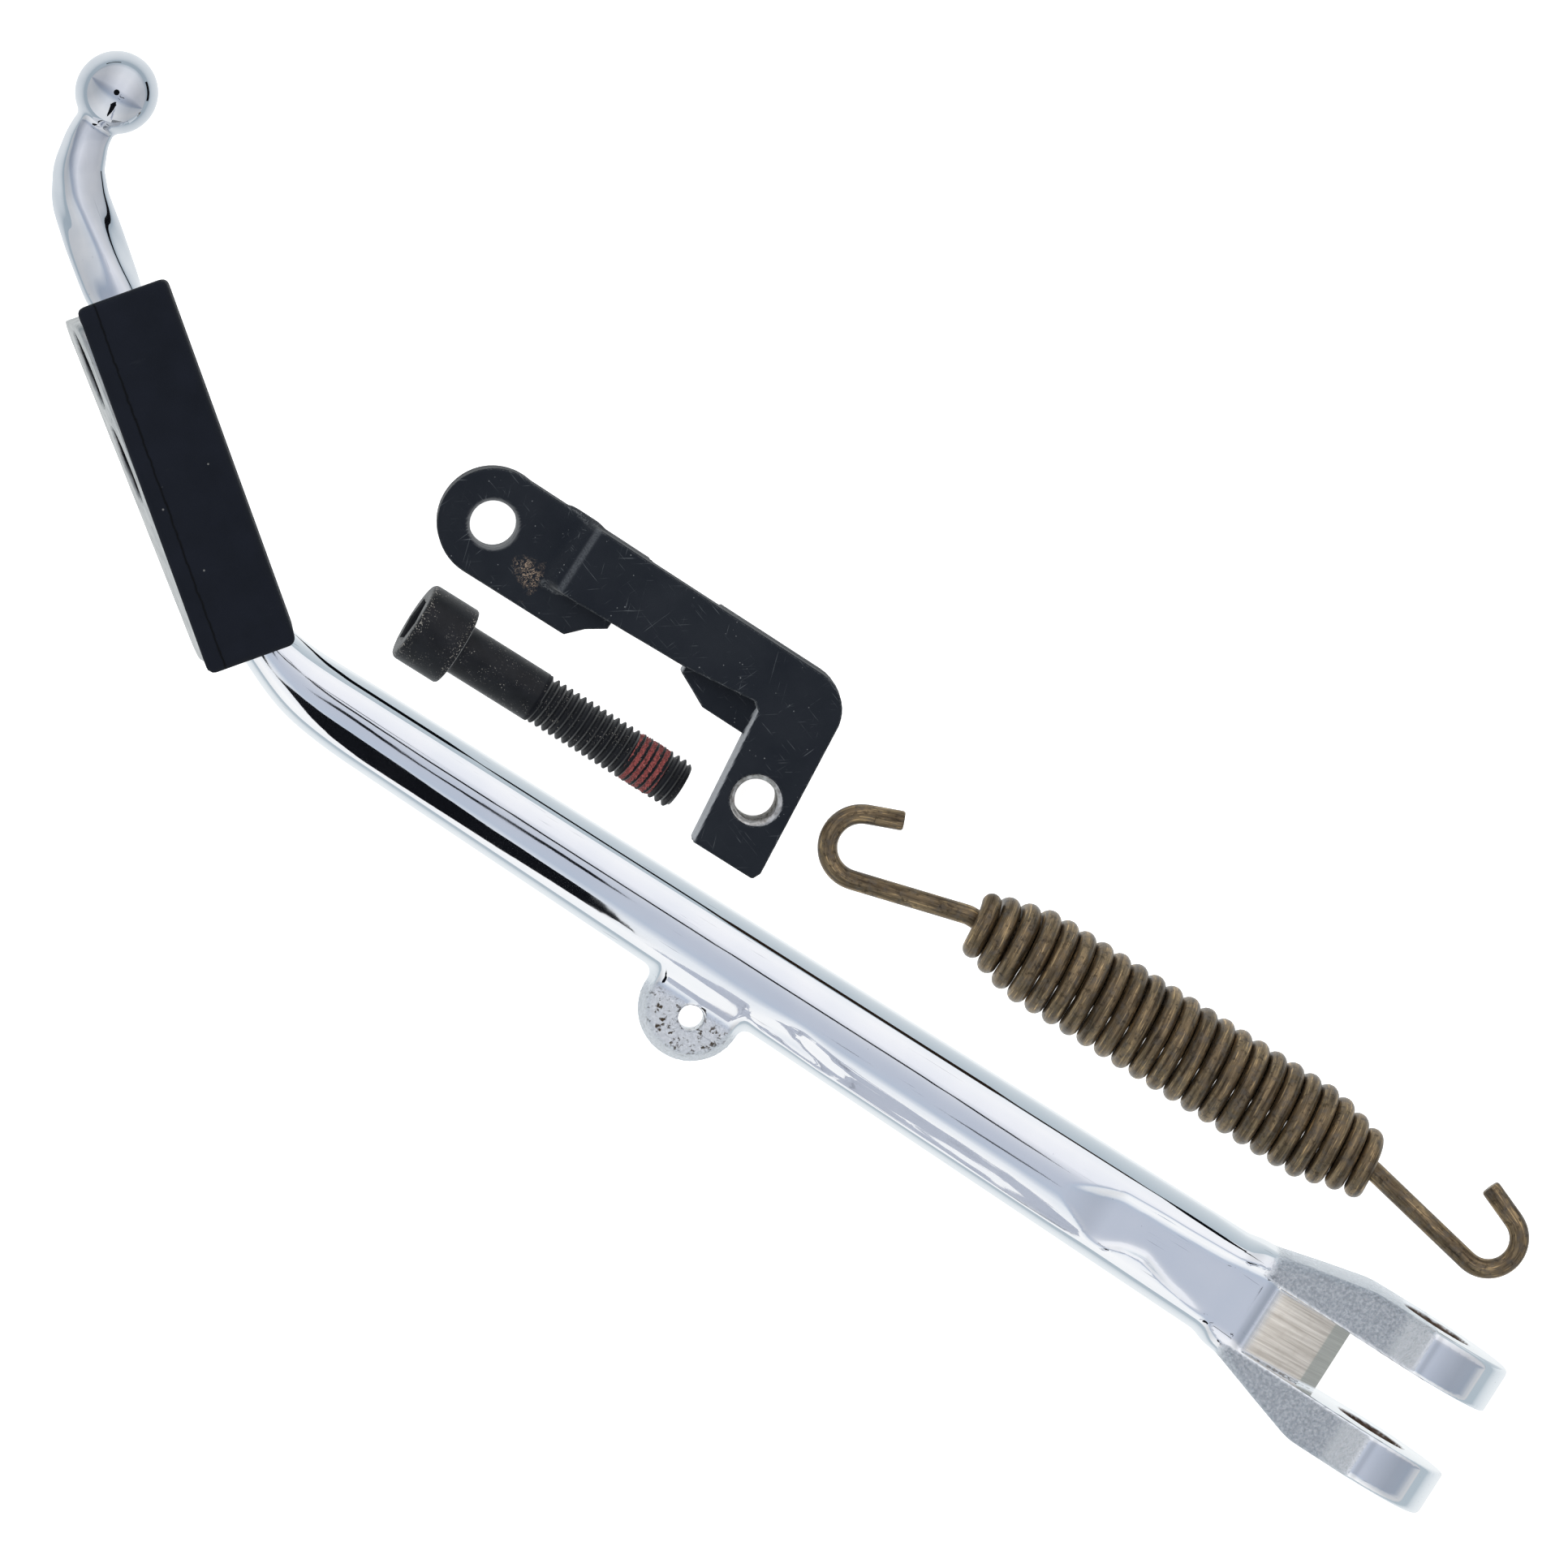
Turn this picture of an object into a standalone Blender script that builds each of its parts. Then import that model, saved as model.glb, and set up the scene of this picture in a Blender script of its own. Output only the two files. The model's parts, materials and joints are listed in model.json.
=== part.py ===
"""Motorcycle kickstand kit, laid out flat: leg with foot pad, bracket, cap screw and spring.

Units are metres, +Z is up, and everything lies on the plane z = 0.
Each piece is modelled in a frame of its own and then placed in the layout:
  leg      origin on the pivot axis, +X out of the clevis, +Y across the ears
  pad      origin in the middle of the pad, +X along it towards the bar
  bracket  origin on the plain hole, +X along the arm
  screw    origin under the head, the tip towards -Z
  spring   origin in the middle of the coil, +X along its axis
"""
import math

import bmesh
import bpy
from mathutils import Matrix, Vector

MM = 0.001
GAP = 0.3 * MM                      # clearance where one piece passes through another

# Layout on the plane: place (x, y) and heading of each frame
LEG_PLACE = (114.1 * MM, -116.6 * MM)
LEG_HEADING = math.radians(-32.4)
BRACKET_PLACE = (-55.5 * MM, 49.2 * MM)
BRACKET_HEADING = math.radians(-33.2)
SCREW_PLACE = (-62.3 * MM, 25.9 * MM)
SCREW_HEADING = math.radians(-32.5)
SPRING_PLACE = (73.2 * MM, -49.9 * MM)
SPRING_HEADING = math.radians(-32.5)

# Clevis
EYE_RADIUS = 16.5 * MM
BORE_RADIUS = 7.0 * MM
CLEVIS_GAP = 14.0 * MM
CLEVIS_WIDTH = 32.6 * MM
CLEVIS_ROOT_X = -38.0 * MM
CLEVIS_ROOT_HALF_DEPTH = 9.2 * MM
CLEVIS_EDGE = 1.2 * MM              # rounding of the ears' edges
EAR_TAPER_X = -14.0 * MM            # where the outside of the ears starts to narrow
SLOT_TOP = (-31.0 * MM, 10.9 * MM)
SLOT_KNEE = (-16.8 * MM, 2.0 * MM)
SLOT_FLOOR = (-12.5 * MM, -4.0 * MM)

# Bar: its upper edge is straight, and its lower edge tapers towards the foot
BAR_HIGH_Y = 12.0 * MM
BAR_START_X = -24.0 * MM
BAR_END_X = -236.0 * MM
BAR_LOW_Y_START = -9.4 * MM
BAR_LOW_Y_END = -3.2 * MM
BAR_HALF_DEPTH_START = 10.4 * MM
BAR_HALF_DEPTH_END = 8.2 * MM
BAR_STATIONS = 6
SECTION_POWER = 2.8                 # 2 is an ellipse, more is squarer
SECTION_POINTS = 20

# Spoon-shaped recess in the bar's upper face, next to the clevis
SPOON_CENTRE = (-32.0 * MM, 0.5 * MM, 17.8 * MM)
SPOON_RADII = (70.0 * MM, 6.8 * MM, 9.5 * MM)

# Spring lug on the bar
LUG_CENTRE = (-152.2 * MM, -7.8 * MM)
LUG_RADIUS = 10.2 * MM
LUG_LOW = -1.2 * MM                 # its lower and upper face
LUG_HIGH = 6.0 * MM
LUG_HOLE = (-151.5 * MM, -9.2 * MM)
LUG_HOLE_RADIUS = 2.4 * MM

# Foot pad
PAD_CENTRE = (-287.2 * MM, 27.4 * MM)
PAD_HEADING = math.radians(-37.9)   # measured from the leg's frame
PAD_LENGTH = 73.4 * MM
PAD_WIDTH = 17.7 * MM
PAD_DEPTH = 33.0 * MM
PAD_EDGE = 1.6 * MM

# Foot core and toe arm, in the pad's frame: x, y, half width, half depth
FOOT_AND_ARM = [
    (46.0 * MM, 7.3 * MM, 6.9 * MM, 8.1 * MM),
    (37.0 * MM, 3.3 * MM, 5.2 * MM, 7.8 * MM),
    (27.0 * MM, 1.0 * MM, 4.8 * MM, 8.2 * MM),
    (10.0 * MM, 0.3 * MM, 5.0 * MM, 8.8 * MM),
    (-12.0 * MM, -0.5 * MM, 5.2 * MM, 8.8 * MM),
    (-28.0 * MM, -0.8 * MM, 5.1 * MM, 8.0 * MM),
    (-33.5 * MM, -1.1 * MM, 5.4 * MM, 7.6 * MM),
    (-37.0 * MM, -1.4 * MM, 5.9 * MM, 7.2 * MM),
    (-47.0 * MM, -1.4 * MM, 6.1 * MM, 6.4 * MM),
    (-54.5 * MM, -1.3 * MM, 5.9 * MM, 5.8 * MM),
    (-60.0 * MM, 0.3 * MM, 5.3 * MM, 5.2 * MM),
    (-65.0 * MM, 3.8 * MM, 4.6 * MM, 4.6 * MM),
    (-69.5 * MM, 9.2 * MM, 4.1 * MM, 4.2 * MM),
]
BALL_CENTRE = (-71.3 * MM, 12.0 * MM)
BALL_RADIUS = 7.9 * MM

# Wear plate, let into the ground side of the pad, thinner towards the bar and towards the top
PLATE_THICKNESS = 2.95 * MM         # in its middle
PLATE_TAPER = 0.03                  # thickness lost per length along the pad
PLATE_LEAN = 0.05                   # thickness lost per length towards the top
PLATE_LENGTH = 69.0 * MM
PLATE_DEPTH = 29.0 * MM
PLATE_BACK = -7.0 * MM              # its inner face, across the pad
PLATE_SHIFT = 1.2 * MM              # its middle, along the pad
PLATE_CORNER = 4.0 * MM
RECESS_CUT = 5.0 * MM               # more than the plate's depth in the pad
WINDOW_LENGTH = 16.0 * MM
WINDOW_WIDTH = 13.0 * MM
WINDOW_MIDDLES = (-25.0 * MM, -5.8 * MM)

# Bracket
BRACKET_HEIGHT = 14.0 * MM
BRACKET_PLATE = 8.0 * MM
BRACKET_TOP_Y = 10.4 * MM
BRACKET_EYE_RADIUS = 10.6 * MM
BRACKET_HOLE_RADIUS = 4.45 * MM
BRACKET_RAMP_X = 12.0 * MM
BRACKET_RAMP_RUN = 5.0 * MM
BRACKET_CORNER = 8.0 * MM
BRACKET_RIGHT_X = 75.4 * MM
BRACKET_STEP = 0.15 * MM            # how far the lower flaps stay inside the arm's outline
TAPPED_HOLE = (69.8 * MM, -16.5 * MM)
TAPPED_HOLE_RADIUS = 4.9 * MM

# Cap screw
SCREW_PITCH = 1.5 * MM
SCREW_LENGTH = 50.0 * MM
SHANK_RADIUS = 5.0 * MM
SHANK_LENGTH = 18.0 * MM
CREST_RADIUS = 4.93 * MM
ROOT_RADIUS = 4.08 * MM
TIP_RADIUS = 4.15 * MM
HEAD_RADIUS = 8.0 * MM
HEAD_HEIGHT = 10.0 * MM
HEAD_EDGE = 0.7 * MM
SOCKET_ACROSS_FLATS = 8.0 * MM
SOCKET_DEPTH = 5.5 * MM
THREAD_SEGMENTS = 16
THREAD_OVERLAP = 0.8 * MM           # how far the thread reaches into the plain shank

# Locking patch in the thread
PATCH_FIRST_TURN = 14
PATCH_TURNS = 5
PATCH_RADIUS = 4.86 * MM
PATCH_INNER_RADIUS = 4.32 * MM
PATCH_HALF_WIDTH = 0.5 * MM

# Spring
WIRE_RADIUS = 1.95 * MM
COIL_WIRE_RADIUS = 1.9 * MM
COIL_PITCH = 3.9 * MM
COIL_TURNS = 22.5
COIL_RADIUS = 7.6 * MM
COIL_END_RADIUS = 4.8 * MM
COIL_FLAT_TURNS = 0.2               # how far an end runs before it starts to widen
COIL_TAPER_TURNS = 3.0
COIL_SEGMENTS = 12
COIL_START_ANGLE = math.radians(15)
SPRING_HEIGHT = 9.5 * MM
HOOK_HEAD_RADIUS = 4.0 * MM
HOOK_HEAD_LENGTH = 2.3 * MM
HOOK_HEAD_X = 35.9 * MM             # the head's outer face, from the middle of the coil
LEFT_HOOK_KINK = 46.0 * MM          # where the shank leaves the spring's axis
RIGHT_HOOK_KINK = 44.6 * MM

LEFT_HOOK_BEND = (-70.2 * MM, -0.1 * MM)
LEFT_HOOK_RADIUS = 6.4 * MM
LEFT_HOOK_ARC = (math.radians(-75), math.radians(-248))
LEFT_HOOK_TIP = 7.4 * MM
RIGHT_HOOK_BEND = (70.6 * MM, 0.7 * MM)
RIGHT_HOOK_RADIUS = 5.85 * MM
RIGHT_HOOK_ARC = (math.radians(-103), math.radians(68))
RIGHT_HOOK_TIP = 8.2 * MM
HOOK_ARC_STEPS = 12

# Materials: colour, roughness, metallic
FINISHES = {
    "chrome": ((0.80, 0.82, 0.85), 0.06, 1.0),
    "rubber": ((0.016, 0.019, 0.026), 0.75, 0.0),
    "bright_steel": ((0.62, 0.63, 0.64), 0.35, 1.0),
    "black_steel": ((0.022, 0.027, 0.035), 0.45, 0.4),
    "black_oxide": ((0.020, 0.020, 0.022), 0.40, 0.6),
    "locking_compound": ((0.35, 0.05, 0.05), 0.80, 0.0),
    "spring_wire": ((0.22, 0.16, 0.09), 0.38, 0.9),
}


# ---------------------------------------------------------------- scene and helpers

def clear_scene():
    for obj in list(bpy.data.objects):
        bpy.data.objects.remove(obj, do_unlink=True)


def make_collection(name):
    collection = bpy.data.collections.new(name)
    bpy.context.scene.collection.children.link(collection)
    return collection


def make_material(name):
    colour, roughness, metallic = FINISHES[name]
    material = bpy.data.materials.new(name)
    material.use_nodes = True
    shader = material.node_tree.nodes["Principled BSDF"]
    shader.inputs["Base Color"].default_value = (*colour, 1.0)
    shader.inputs["Roughness"].default_value = roughness
    shader.inputs["Metallic"].default_value = metallic
    return material


def add_empty(name, frame, parent=None):
    empty = bpy.data.objects.new(name, None)
    empty.empty_display_size = 10 * MM
    PARTS.objects.link(empty)
    empty.parent = parent
    empty.matrix_local = frame
    return empty


def add_part(name, mesh, parent, finish, frame=None):
    """Put a mesh in the layout as one named piece, in its parent's frame."""
    obj = bpy.data.objects.new(name, mesh)
    PARTS.objects.link(obj)
    obj.parent = parent
    if frame is not None:
        obj.matrix_local = frame
    mesh.materials.clear()
    mesh.materials.append(make_material(finish))
    mesh.shade_smooth()
    mesh.set_sharp_from_angle(angle=math.radians(35))
    return obj


def add_tool(name, mesh, parent, frame=None):
    """Put a mesh in the layout as a shape that a Boolean uses and nothing shows."""
    obj = bpy.data.objects.new(name, mesh)
    TOOLS.objects.link(obj)
    obj.parent = parent
    if frame is not None:
        obj.matrix_local = frame
    obj.hide_render = True
    obj.display_type = "WIRE"
    return obj


def combine(target, tool, operation):
    modifier = target.modifiers.new(operation.lower() + "_" + tool.name, "BOOLEAN")
    modifier.operation = operation
    modifier.object = tool
    modifier.solver = "EXACT"


def evaluated_mesh(obj):
    """The object's mesh with its modifiers applied. The object itself is removed."""
    bpy.context.view_layer.update()
    graph = bpy.context.evaluated_depsgraph_get()
    mesh = bpy.data.meshes.new_from_object(obj.evaluated_get(graph))
    bpy.data.objects.remove(obj, do_unlink=True)
    return mesh


def tidy_mesh(mesh, weld=1e-6):
    bm = bmesh.new()
    bm.from_mesh(mesh)
    bmesh.ops.remove_doubles(bm, verts=bm.verts, dist=weld)
    bmesh.ops.recalc_face_normals(bm, faces=bm.faces)
    bm.to_mesh(mesh)
    bm.free()
    return mesh


def arc(centre, radius, start, end, steps):
    return [
        (
            centre[0] + radius * math.cos(start + (end - start) * i / steps),
            centre[1] + radius * math.sin(start + (end - start) * i / steps),
        )
        for i in range(steps + 1)
    ]


def prism(name, outline, low, high):
    """A flat outline in XY, filled and given the thickness from low to high."""
    curve = bpy.data.curves.new(name, "CURVE")
    curve.dimensions = "2D"
    curve.fill_mode = "BOTH"
    curve.extrude = (high - low) / 2
    spline = curve.splines.new("POLY")
    spline.points.add(len(outline) - 1)
    for point, (x, y) in zip(spline.points, outline):
        point.co = (x, y, 0.0, 1.0)
    spline.use_cyclic_u = True
    obj = bpy.data.objects.new(name, curve)
    TOOLS.objects.link(obj)
    mesh = tidy_mesh(evaluated_mesh(obj))
    mesh.transform(Matrix.Translation((0.0, 0.0, (low + high) / 2)))
    return mesh


def side_prism(name, outline, half_width):
    """As prism, with the outline in XZ and the thickness to both sides along Y."""
    mesh = prism(name, outline, -half_width, half_width)
    mesh.transform(Matrix.Rotation(math.radians(90), 4, "X"))
    return mesh


def cylinder(name, radius, length, segments=24):
    bm = bmesh.new()
    bmesh.ops.create_cone(
        bm, cap_ends=True, segments=segments, radius1=radius, radius2=radius, depth=length
    )
    mesh = bpy.data.meshes.new(name)
    bm.to_mesh(mesh)
    bm.free()
    return mesh


def rounded(mesh, width, segments, smallest_angle=30):
    """The mesh with a Bevel on every edge sharper than the given angle."""
    obj = bpy.data.objects.new(mesh.name, mesh)
    TOOLS.objects.link(obj)
    bevel = obj.modifiers.new("edges", "BEVEL")
    bevel.width = width
    bevel.segments = segments
    bevel.limit_method = "ANGLE"
    bevel.angle_limit = math.radians(smallest_angle)
    return tidy_mesh(evaluated_mesh(obj))


def wire(name, points, radius):
    """A round wire through the points, with flat ends, as a closed mesh."""
    curve = bpy.data.curves.new(name, "CURVE")
    curve.dimensions = "3D"
    curve.bevel_depth = radius
    curve.bevel_resolution = 2
    curve.use_fill_caps = True
    spline = curve.splines.new("POLY")
    spline.points.add(len(points) - 1)
    for point, place in zip(spline.points, points):
        point.co = (*place, 1.0)
    obj = bpy.data.objects.new(name, curve)
    TOOLS.objects.link(obj)
    return tidy_mesh(evaluated_mesh(obj))


def plane_frame(place, heading, height=0.0):
    return Matrix.Translation((place[0], place[1], height)) @ Matrix.Rotation(heading, 4, "Z")


# ---------------------------------------------------------------- leg

def bar_stations():
    """Stations along the straight bar: x, y, half width, half depth."""
    stations = []
    for i in range(BAR_STATIONS):
        share = i / (BAR_STATIONS - 1)
        low = BAR_LOW_Y_START + (BAR_LOW_Y_END - BAR_LOW_Y_START) * share
        depth = BAR_HALF_DEPTH_START + (BAR_HALF_DEPTH_END - BAR_HALF_DEPTH_START) * share
        x = BAR_START_X + (BAR_END_X - BAR_START_X) * share
        stations.append((x, (BAR_HIGH_Y + low) / 2, (BAR_HIGH_Y - low) / 2, depth))
    return stations


def foot_stations(grow=0.0):
    """Stations of the foot core and toe arm, moved from the pad's frame to the leg's."""
    frame = plane_frame(PAD_CENTRE, PAD_HEADING)
    stations = []
    for x, y, half_width, half_depth in FOOT_AND_ARM:
        place = frame @ Vector((x, y, 0.0))
        stations.append((place.x, place.y, half_width + grow, half_depth + grow))
    return stations


def smooth_stations(stations):
    """One extra station between each pair, on the curve through its neighbours."""
    result = []
    last = len(stations) - 1
    for i in range(last):
        before = stations[max(i - 1, 0)]
        after = stations[min(i + 2, last)]
        result.append(stations[i])
        result.append(tuple(
            (9 * (a + b) - c - d) / 16
            for a, b, c, d in zip(stations[i], stations[i + 1], before, after)
        ))
    result.append(stations[last])
    return result


def loft(name, stations):
    """A closed skin over rounded sections that stand across the line of stations."""
    bm = bmesh.new()
    rings = []
    last = len(stations) - 1
    for i, (x, y, half_width, half_depth) in enumerate(stations):
        before = stations[max(i - 1, 0)]
        after = stations[min(i + 1, last)]
        along = Vector((after[0] - before[0], after[1] - before[1], 0.0)).normalized()
        across = Vector((-along.y, along.x, 0.0))
        ring = []
        for k in range(SECTION_POINTS):
            angle = 2 * math.pi * k / SECTION_POINTS
            c, s = math.cos(angle), math.sin(angle)
            side = math.copysign(abs(c) ** (2 / SECTION_POWER), c) * half_width
            rise = math.copysign(abs(s) ** (2 / SECTION_POWER), s) * half_depth
            ring.append(bm.verts.new(Vector((x, y, rise)) + across * side))
        rings.append(ring)
    for one, two in zip(rings, rings[1:]):
        for k in range(SECTION_POINTS):
            following = (k + 1) % SECTION_POINTS
            bm.faces.new((one[k], one[following], two[following], two[k]))
    bm.faces.new(rings[0])
    bm.faces.new(rings[-1])
    bmesh.ops.recalc_face_normals(bm, faces=bm.faces)
    mesh = bpy.data.meshes.new(name)
    bm.to_mesh(mesh)
    bm.free()
    return mesh


def clevis_block(parent):
    """The solid that the two ears are cut from: eye-shaped from the side, tapered from above."""
    root = Vector((CLEVIS_ROOT_X, CLEVIS_ROOT_HALF_DEPTH))
    tangent = math.atan2(root.y, root.x) - math.acos(EYE_RADIUS / root.length)
    side = arc((0.0, 0.0), EYE_RADIUS, tangent, -tangent, 26)
    side += [(root.x, -root.y), (root.x, root.y)]
    half = CLEVIS_WIDTH / 2
    end = EYE_RADIUS + 1 * MM
    top = [
        (end, half),
        (EAR_TAPER_X, half),
        (CLEVIS_ROOT_X - MM, BAR_HIGH_Y),
        (CLEVIS_ROOT_X - MM, BAR_LOW_Y_START),
        (EAR_TAPER_X, -half),
        (end, -half),
    ]
    block = add_tool("clevis_block", side_prism("clevis_block", side, half + MM), parent)
    plan = add_tool("clevis_plan", prism("clevis_plan", top, -2 * EYE_RADIUS, 2 * EYE_RADIUS), parent)
    combine(block, plan, "INTERSECT")
    return add_tool("clevis_body", rounded(evaluated_mesh(block), CLEVIS_EDGE, 2, 50), parent)


def ellipsoid(name, centre, radii):
    bm = bmesh.new()
    bmesh.ops.create_uvsphere(bm, u_segments=24, v_segments=14, radius=1.0)
    bmesh.ops.scale(bm, vec=radii, verts=bm.verts)
    bmesh.ops.translate(bm, vec=centre, verts=bm.verts)
    mesh = bpy.data.meshes.new(name)
    bm.to_mesh(mesh)
    bm.free()
    return mesh


def lug_outline():
    sides = BAR_HIGH_Y / 2
    tab = arc(LUG_CENTRE, LUG_RADIUS, math.pi, 2 * math.pi, 16)
    return tab + [(LUG_CENTRE[0] + LUG_RADIUS, sides), (LUG_CENTRE[0] - LUG_RADIUS, sides)]


def build_leg(pivot):
    stations = smooth_stations(bar_stations() + foot_stations())
    leg = add_part("leg", loft("leg", stations), pivot, "chrome")

    ball_place = plane_frame(PAD_CENTRE, PAD_HEADING) @ Vector((*BALL_CENTRE, 0.0))
    ball = add_tool("toe_ball", ellipsoid("toe_ball", ball_place, (BALL_RADIUS,) * 3), pivot)
    lug = add_tool("spring_lug", prism("spring_lug", lug_outline(), LUG_LOW, LUG_HIGH), pivot)
    for solid in (clevis_block(pivot), ball, lug):
        combine(leg, solid, "UNION")

    beyond = 2 * EYE_RADIUS
    slot_outline = [
        (SLOT_TOP[0], beyond), SLOT_TOP, SLOT_KNEE, SLOT_FLOOR, (SLOT_FLOOR[0], -beyond),
        (beyond, -beyond), (beyond, beyond),
    ]
    slot = add_tool("clevis_slot", side_prism("clevis_slot", slot_outline, CLEVIS_GAP / 2), pivot)
    across = Matrix.Rotation(math.radians(90), 4, "X")
    bore = add_tool("pivot_bore", cylinder("pivot_bore", BORE_RADIUS, 2 * CLEVIS_WIDTH, 32), pivot, across)
    hole_frame = Matrix.Translation((*LUG_HOLE, 0.0))
    hole = add_tool("lug_hole", cylinder("lug_hole", LUG_HOLE_RADIUS, CLEVIS_WIDTH, 16), pivot, hole_frame)
    spoon = add_tool("spoon", ellipsoid("spoon", SPOON_CENTRE, SPOON_RADII), pivot)
    for cutter in (spoon, slot, bore, hole):
        combine(leg, cutter, "DIFFERENCE")
    return leg


# ---------------------------------------------------------------- foot pad and wear plate

def box(name, size):
    bm = bmesh.new()
    bmesh.ops.create_cube(bm, size=1.0)
    bmesh.ops.scale(bm, vec=size, verts=bm.verts)
    mesh = bpy.data.meshes.new(name)
    bm.to_mesh(mesh)
    bm.free()
    return mesh


def plate_outline():
    half_length = PLATE_LENGTH / 2
    half_depth = PLATE_DEPTH / 2
    outline = []
    for quarter, (sx, sy) in enumerate(((1, 1), (-1, 1), (-1, -1), (1, -1))):
        middle = (sx * (half_length - PLATE_CORNER), sy * (half_depth - PLATE_CORNER))
        start = quarter * math.pi / 2
        outline += arc(middle, PLATE_CORNER, start, start + math.pi / 2, 4)
    return outline


def window_outline(middle):
    radius = WINDOW_WIDTH / 2
    reach = WINDOW_LENGTH / 2 - radius
    right = arc((middle + reach, 0.0), radius, -math.pi / 2, math.pi / 2, 8)
    left = arc((middle - reach, 0.0), radius, math.pi / 2, 3 * math.pi / 2, 8)
    return right + left


def build_pad(pivot):
    frame = plane_frame(PAD_CENTRE, PAD_HEADING)
    body = rounded(box("rubber_pad", (PAD_LENGTH, PAD_WIDTH, PAD_DEPTH)), PAD_EDGE, 2)
    pad = add_part("rubber_pad", body, pivot, "rubber", frame)
    core_shape = loft("core_channel", smooth_stations(bar_stations() + foot_stations(GAP)))
    channel = add_tool("core_channel", core_shape, pivot)

    # The plate's outline lies in its own XY; +Z points out of the pad's ground side
    plate_frame = (
        frame
        @ Matrix.Translation((PLATE_SHIFT, PLATE_BACK, 0.0))
        @ Matrix.Rotation(math.radians(90), 4, "X")
    )
    wedge = prism("wear_plate", plate_outline(), 0.0, PLATE_THICKNESS)
    for vertex in wedge.vertices:
        if vertex.co.z > PLATE_THICKNESS / 2:
            vertex.co.z -= vertex.co.x * PLATE_TAPER + vertex.co.y * PLATE_LEAN
    plate = add_part("wear_plate", wedge, pivot, "bright_steel", plate_frame)
    for i, middle in enumerate(WINDOW_MIDDLES):
        name = f"plate_window_{i}"
        through = 2 * PLATE_THICKNESS
        window = add_tool(name, prism(name, window_outline(middle), -through, through), pivot, plate_frame)
        combine(plate, window, "DIFFERENCE")

    recess_size = (PLATE_LENGTH + 2 * GAP, PLATE_DEPTH + 2 * GAP, RECESS_CUT)
    recess_frame = plate_frame @ Matrix.Translation((0.0, 0.0, RECESS_CUT / 2 - GAP))
    recess = add_tool("plate_recess", box("plate_recess", recess_size), pivot, recess_frame)
    for cutter in (channel, recess):
        combine(pad, cutter, "DIFFERENCE")


# ---------------------------------------------------------------- bracket

def bracket_right_side(step):
    """The outline's right part: rounded corner, outer edge, foot and inner edge."""
    corner = (BRACKET_RIGHT_X - BRACKET_CORNER, BRACKET_TOP_Y - BRACKET_CORNER)
    outline = arc(corner, BRACKET_CORNER - step, math.pi / 2, 0.0, 8)
    outline += [
        (78.2 * MM - step, -27.7 * MM + step),
        (77.4 * MM - step, -29.4 * MM + step),
        (64.2 * MM + step, -29.6 * MM + step),
    ]
    return outline


def build_bracket(base, frame):
    arm_outline = [
        (BRACKET_RAMP_X, BRACKET_TOP_Y),
        *bracket_right_side(0.0),
        (60.8 * MM, -2.0 * MM),
        (59.4 * MM, -0.9 * MM),
        (44.2 * MM, -2.7 * MM),
        (BRACKET_RAMP_X + 1 * MM, -3.9 * MM),
    ]
    arm = prism("bracket", arm_outline, BRACKET_HEIGHT - BRACKET_PLATE, BRACKET_HEIGHT)
    for vertex in arm.vertices:
        if vertex.co.z > BRACKET_PLATE and vertex.co.x < BRACKET_RAMP_X + 2 * MM:
            vertex.co.x += BRACKET_RAMP_RUN
    bracket = add_part("bracket", arm, base, "black_steel", frame)

    inside = BRACKET_TOP_Y - BRACKET_STEP
    eye_outline = arc((0.0, 0.0), BRACKET_EYE_RADIUS, math.radians(80), math.radians(270), 18) + [
        (22.6 * MM, -10.3 * MM),
        (25.4 * MM, -7.3 * MM),
        (29.0 * MM, -4.9 * MM),
        (29.0 * MM, inside),
    ]
    foot_outline = bracket_right_side(BRACKET_STEP) + [
        (61.6 * MM, -7.6 * MM),
        (52.1 * MM, -7.6 * MM),
        (48.5 * MM, -5.8 * MM),
        (45.2 * MM, -4.2 * MM),
        (44.7 * MM, inside),
    ]
    lower = (("bracket_eye", eye_outline), ("bracket_foot", foot_outline))
    for name, outline in lower:
        layer = add_tool(name, prism(name, outline, 0.0, BRACKET_PLATE), base, frame)
        combine(bracket, layer, "UNION")

    holes = (("plain_hole", (0.0, 0.0), BRACKET_HOLE_RADIUS), ("tapped_hole", TAPPED_HOLE, TAPPED_HOLE_RADIUS))
    for name, place, radius in holes:
        hole_frame = frame @ Matrix.Translation((*place, BRACKET_HEIGHT / 2))
        hole = add_tool(name, cylinder(name, radius, 2 * BRACKET_HEIGHT), base, hole_frame)
        combine(bracket, hole, "DIFFERENCE")


# ---------------------------------------------------------------- cap screw and locking patch

def thread_point(step, radius, offset):
    """A point on the helix, a whole number of steps from where the thread starts."""
    angle = 2 * math.pi * step / THREAD_SEGMENTS
    depth = SHANK_LENGTH - THREAD_OVERLAP + SCREW_PITCH * step / THREAD_SEGMENTS + offset
    return Vector((radius * math.cos(angle), radius * math.sin(angle), -depth)), depth


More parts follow.
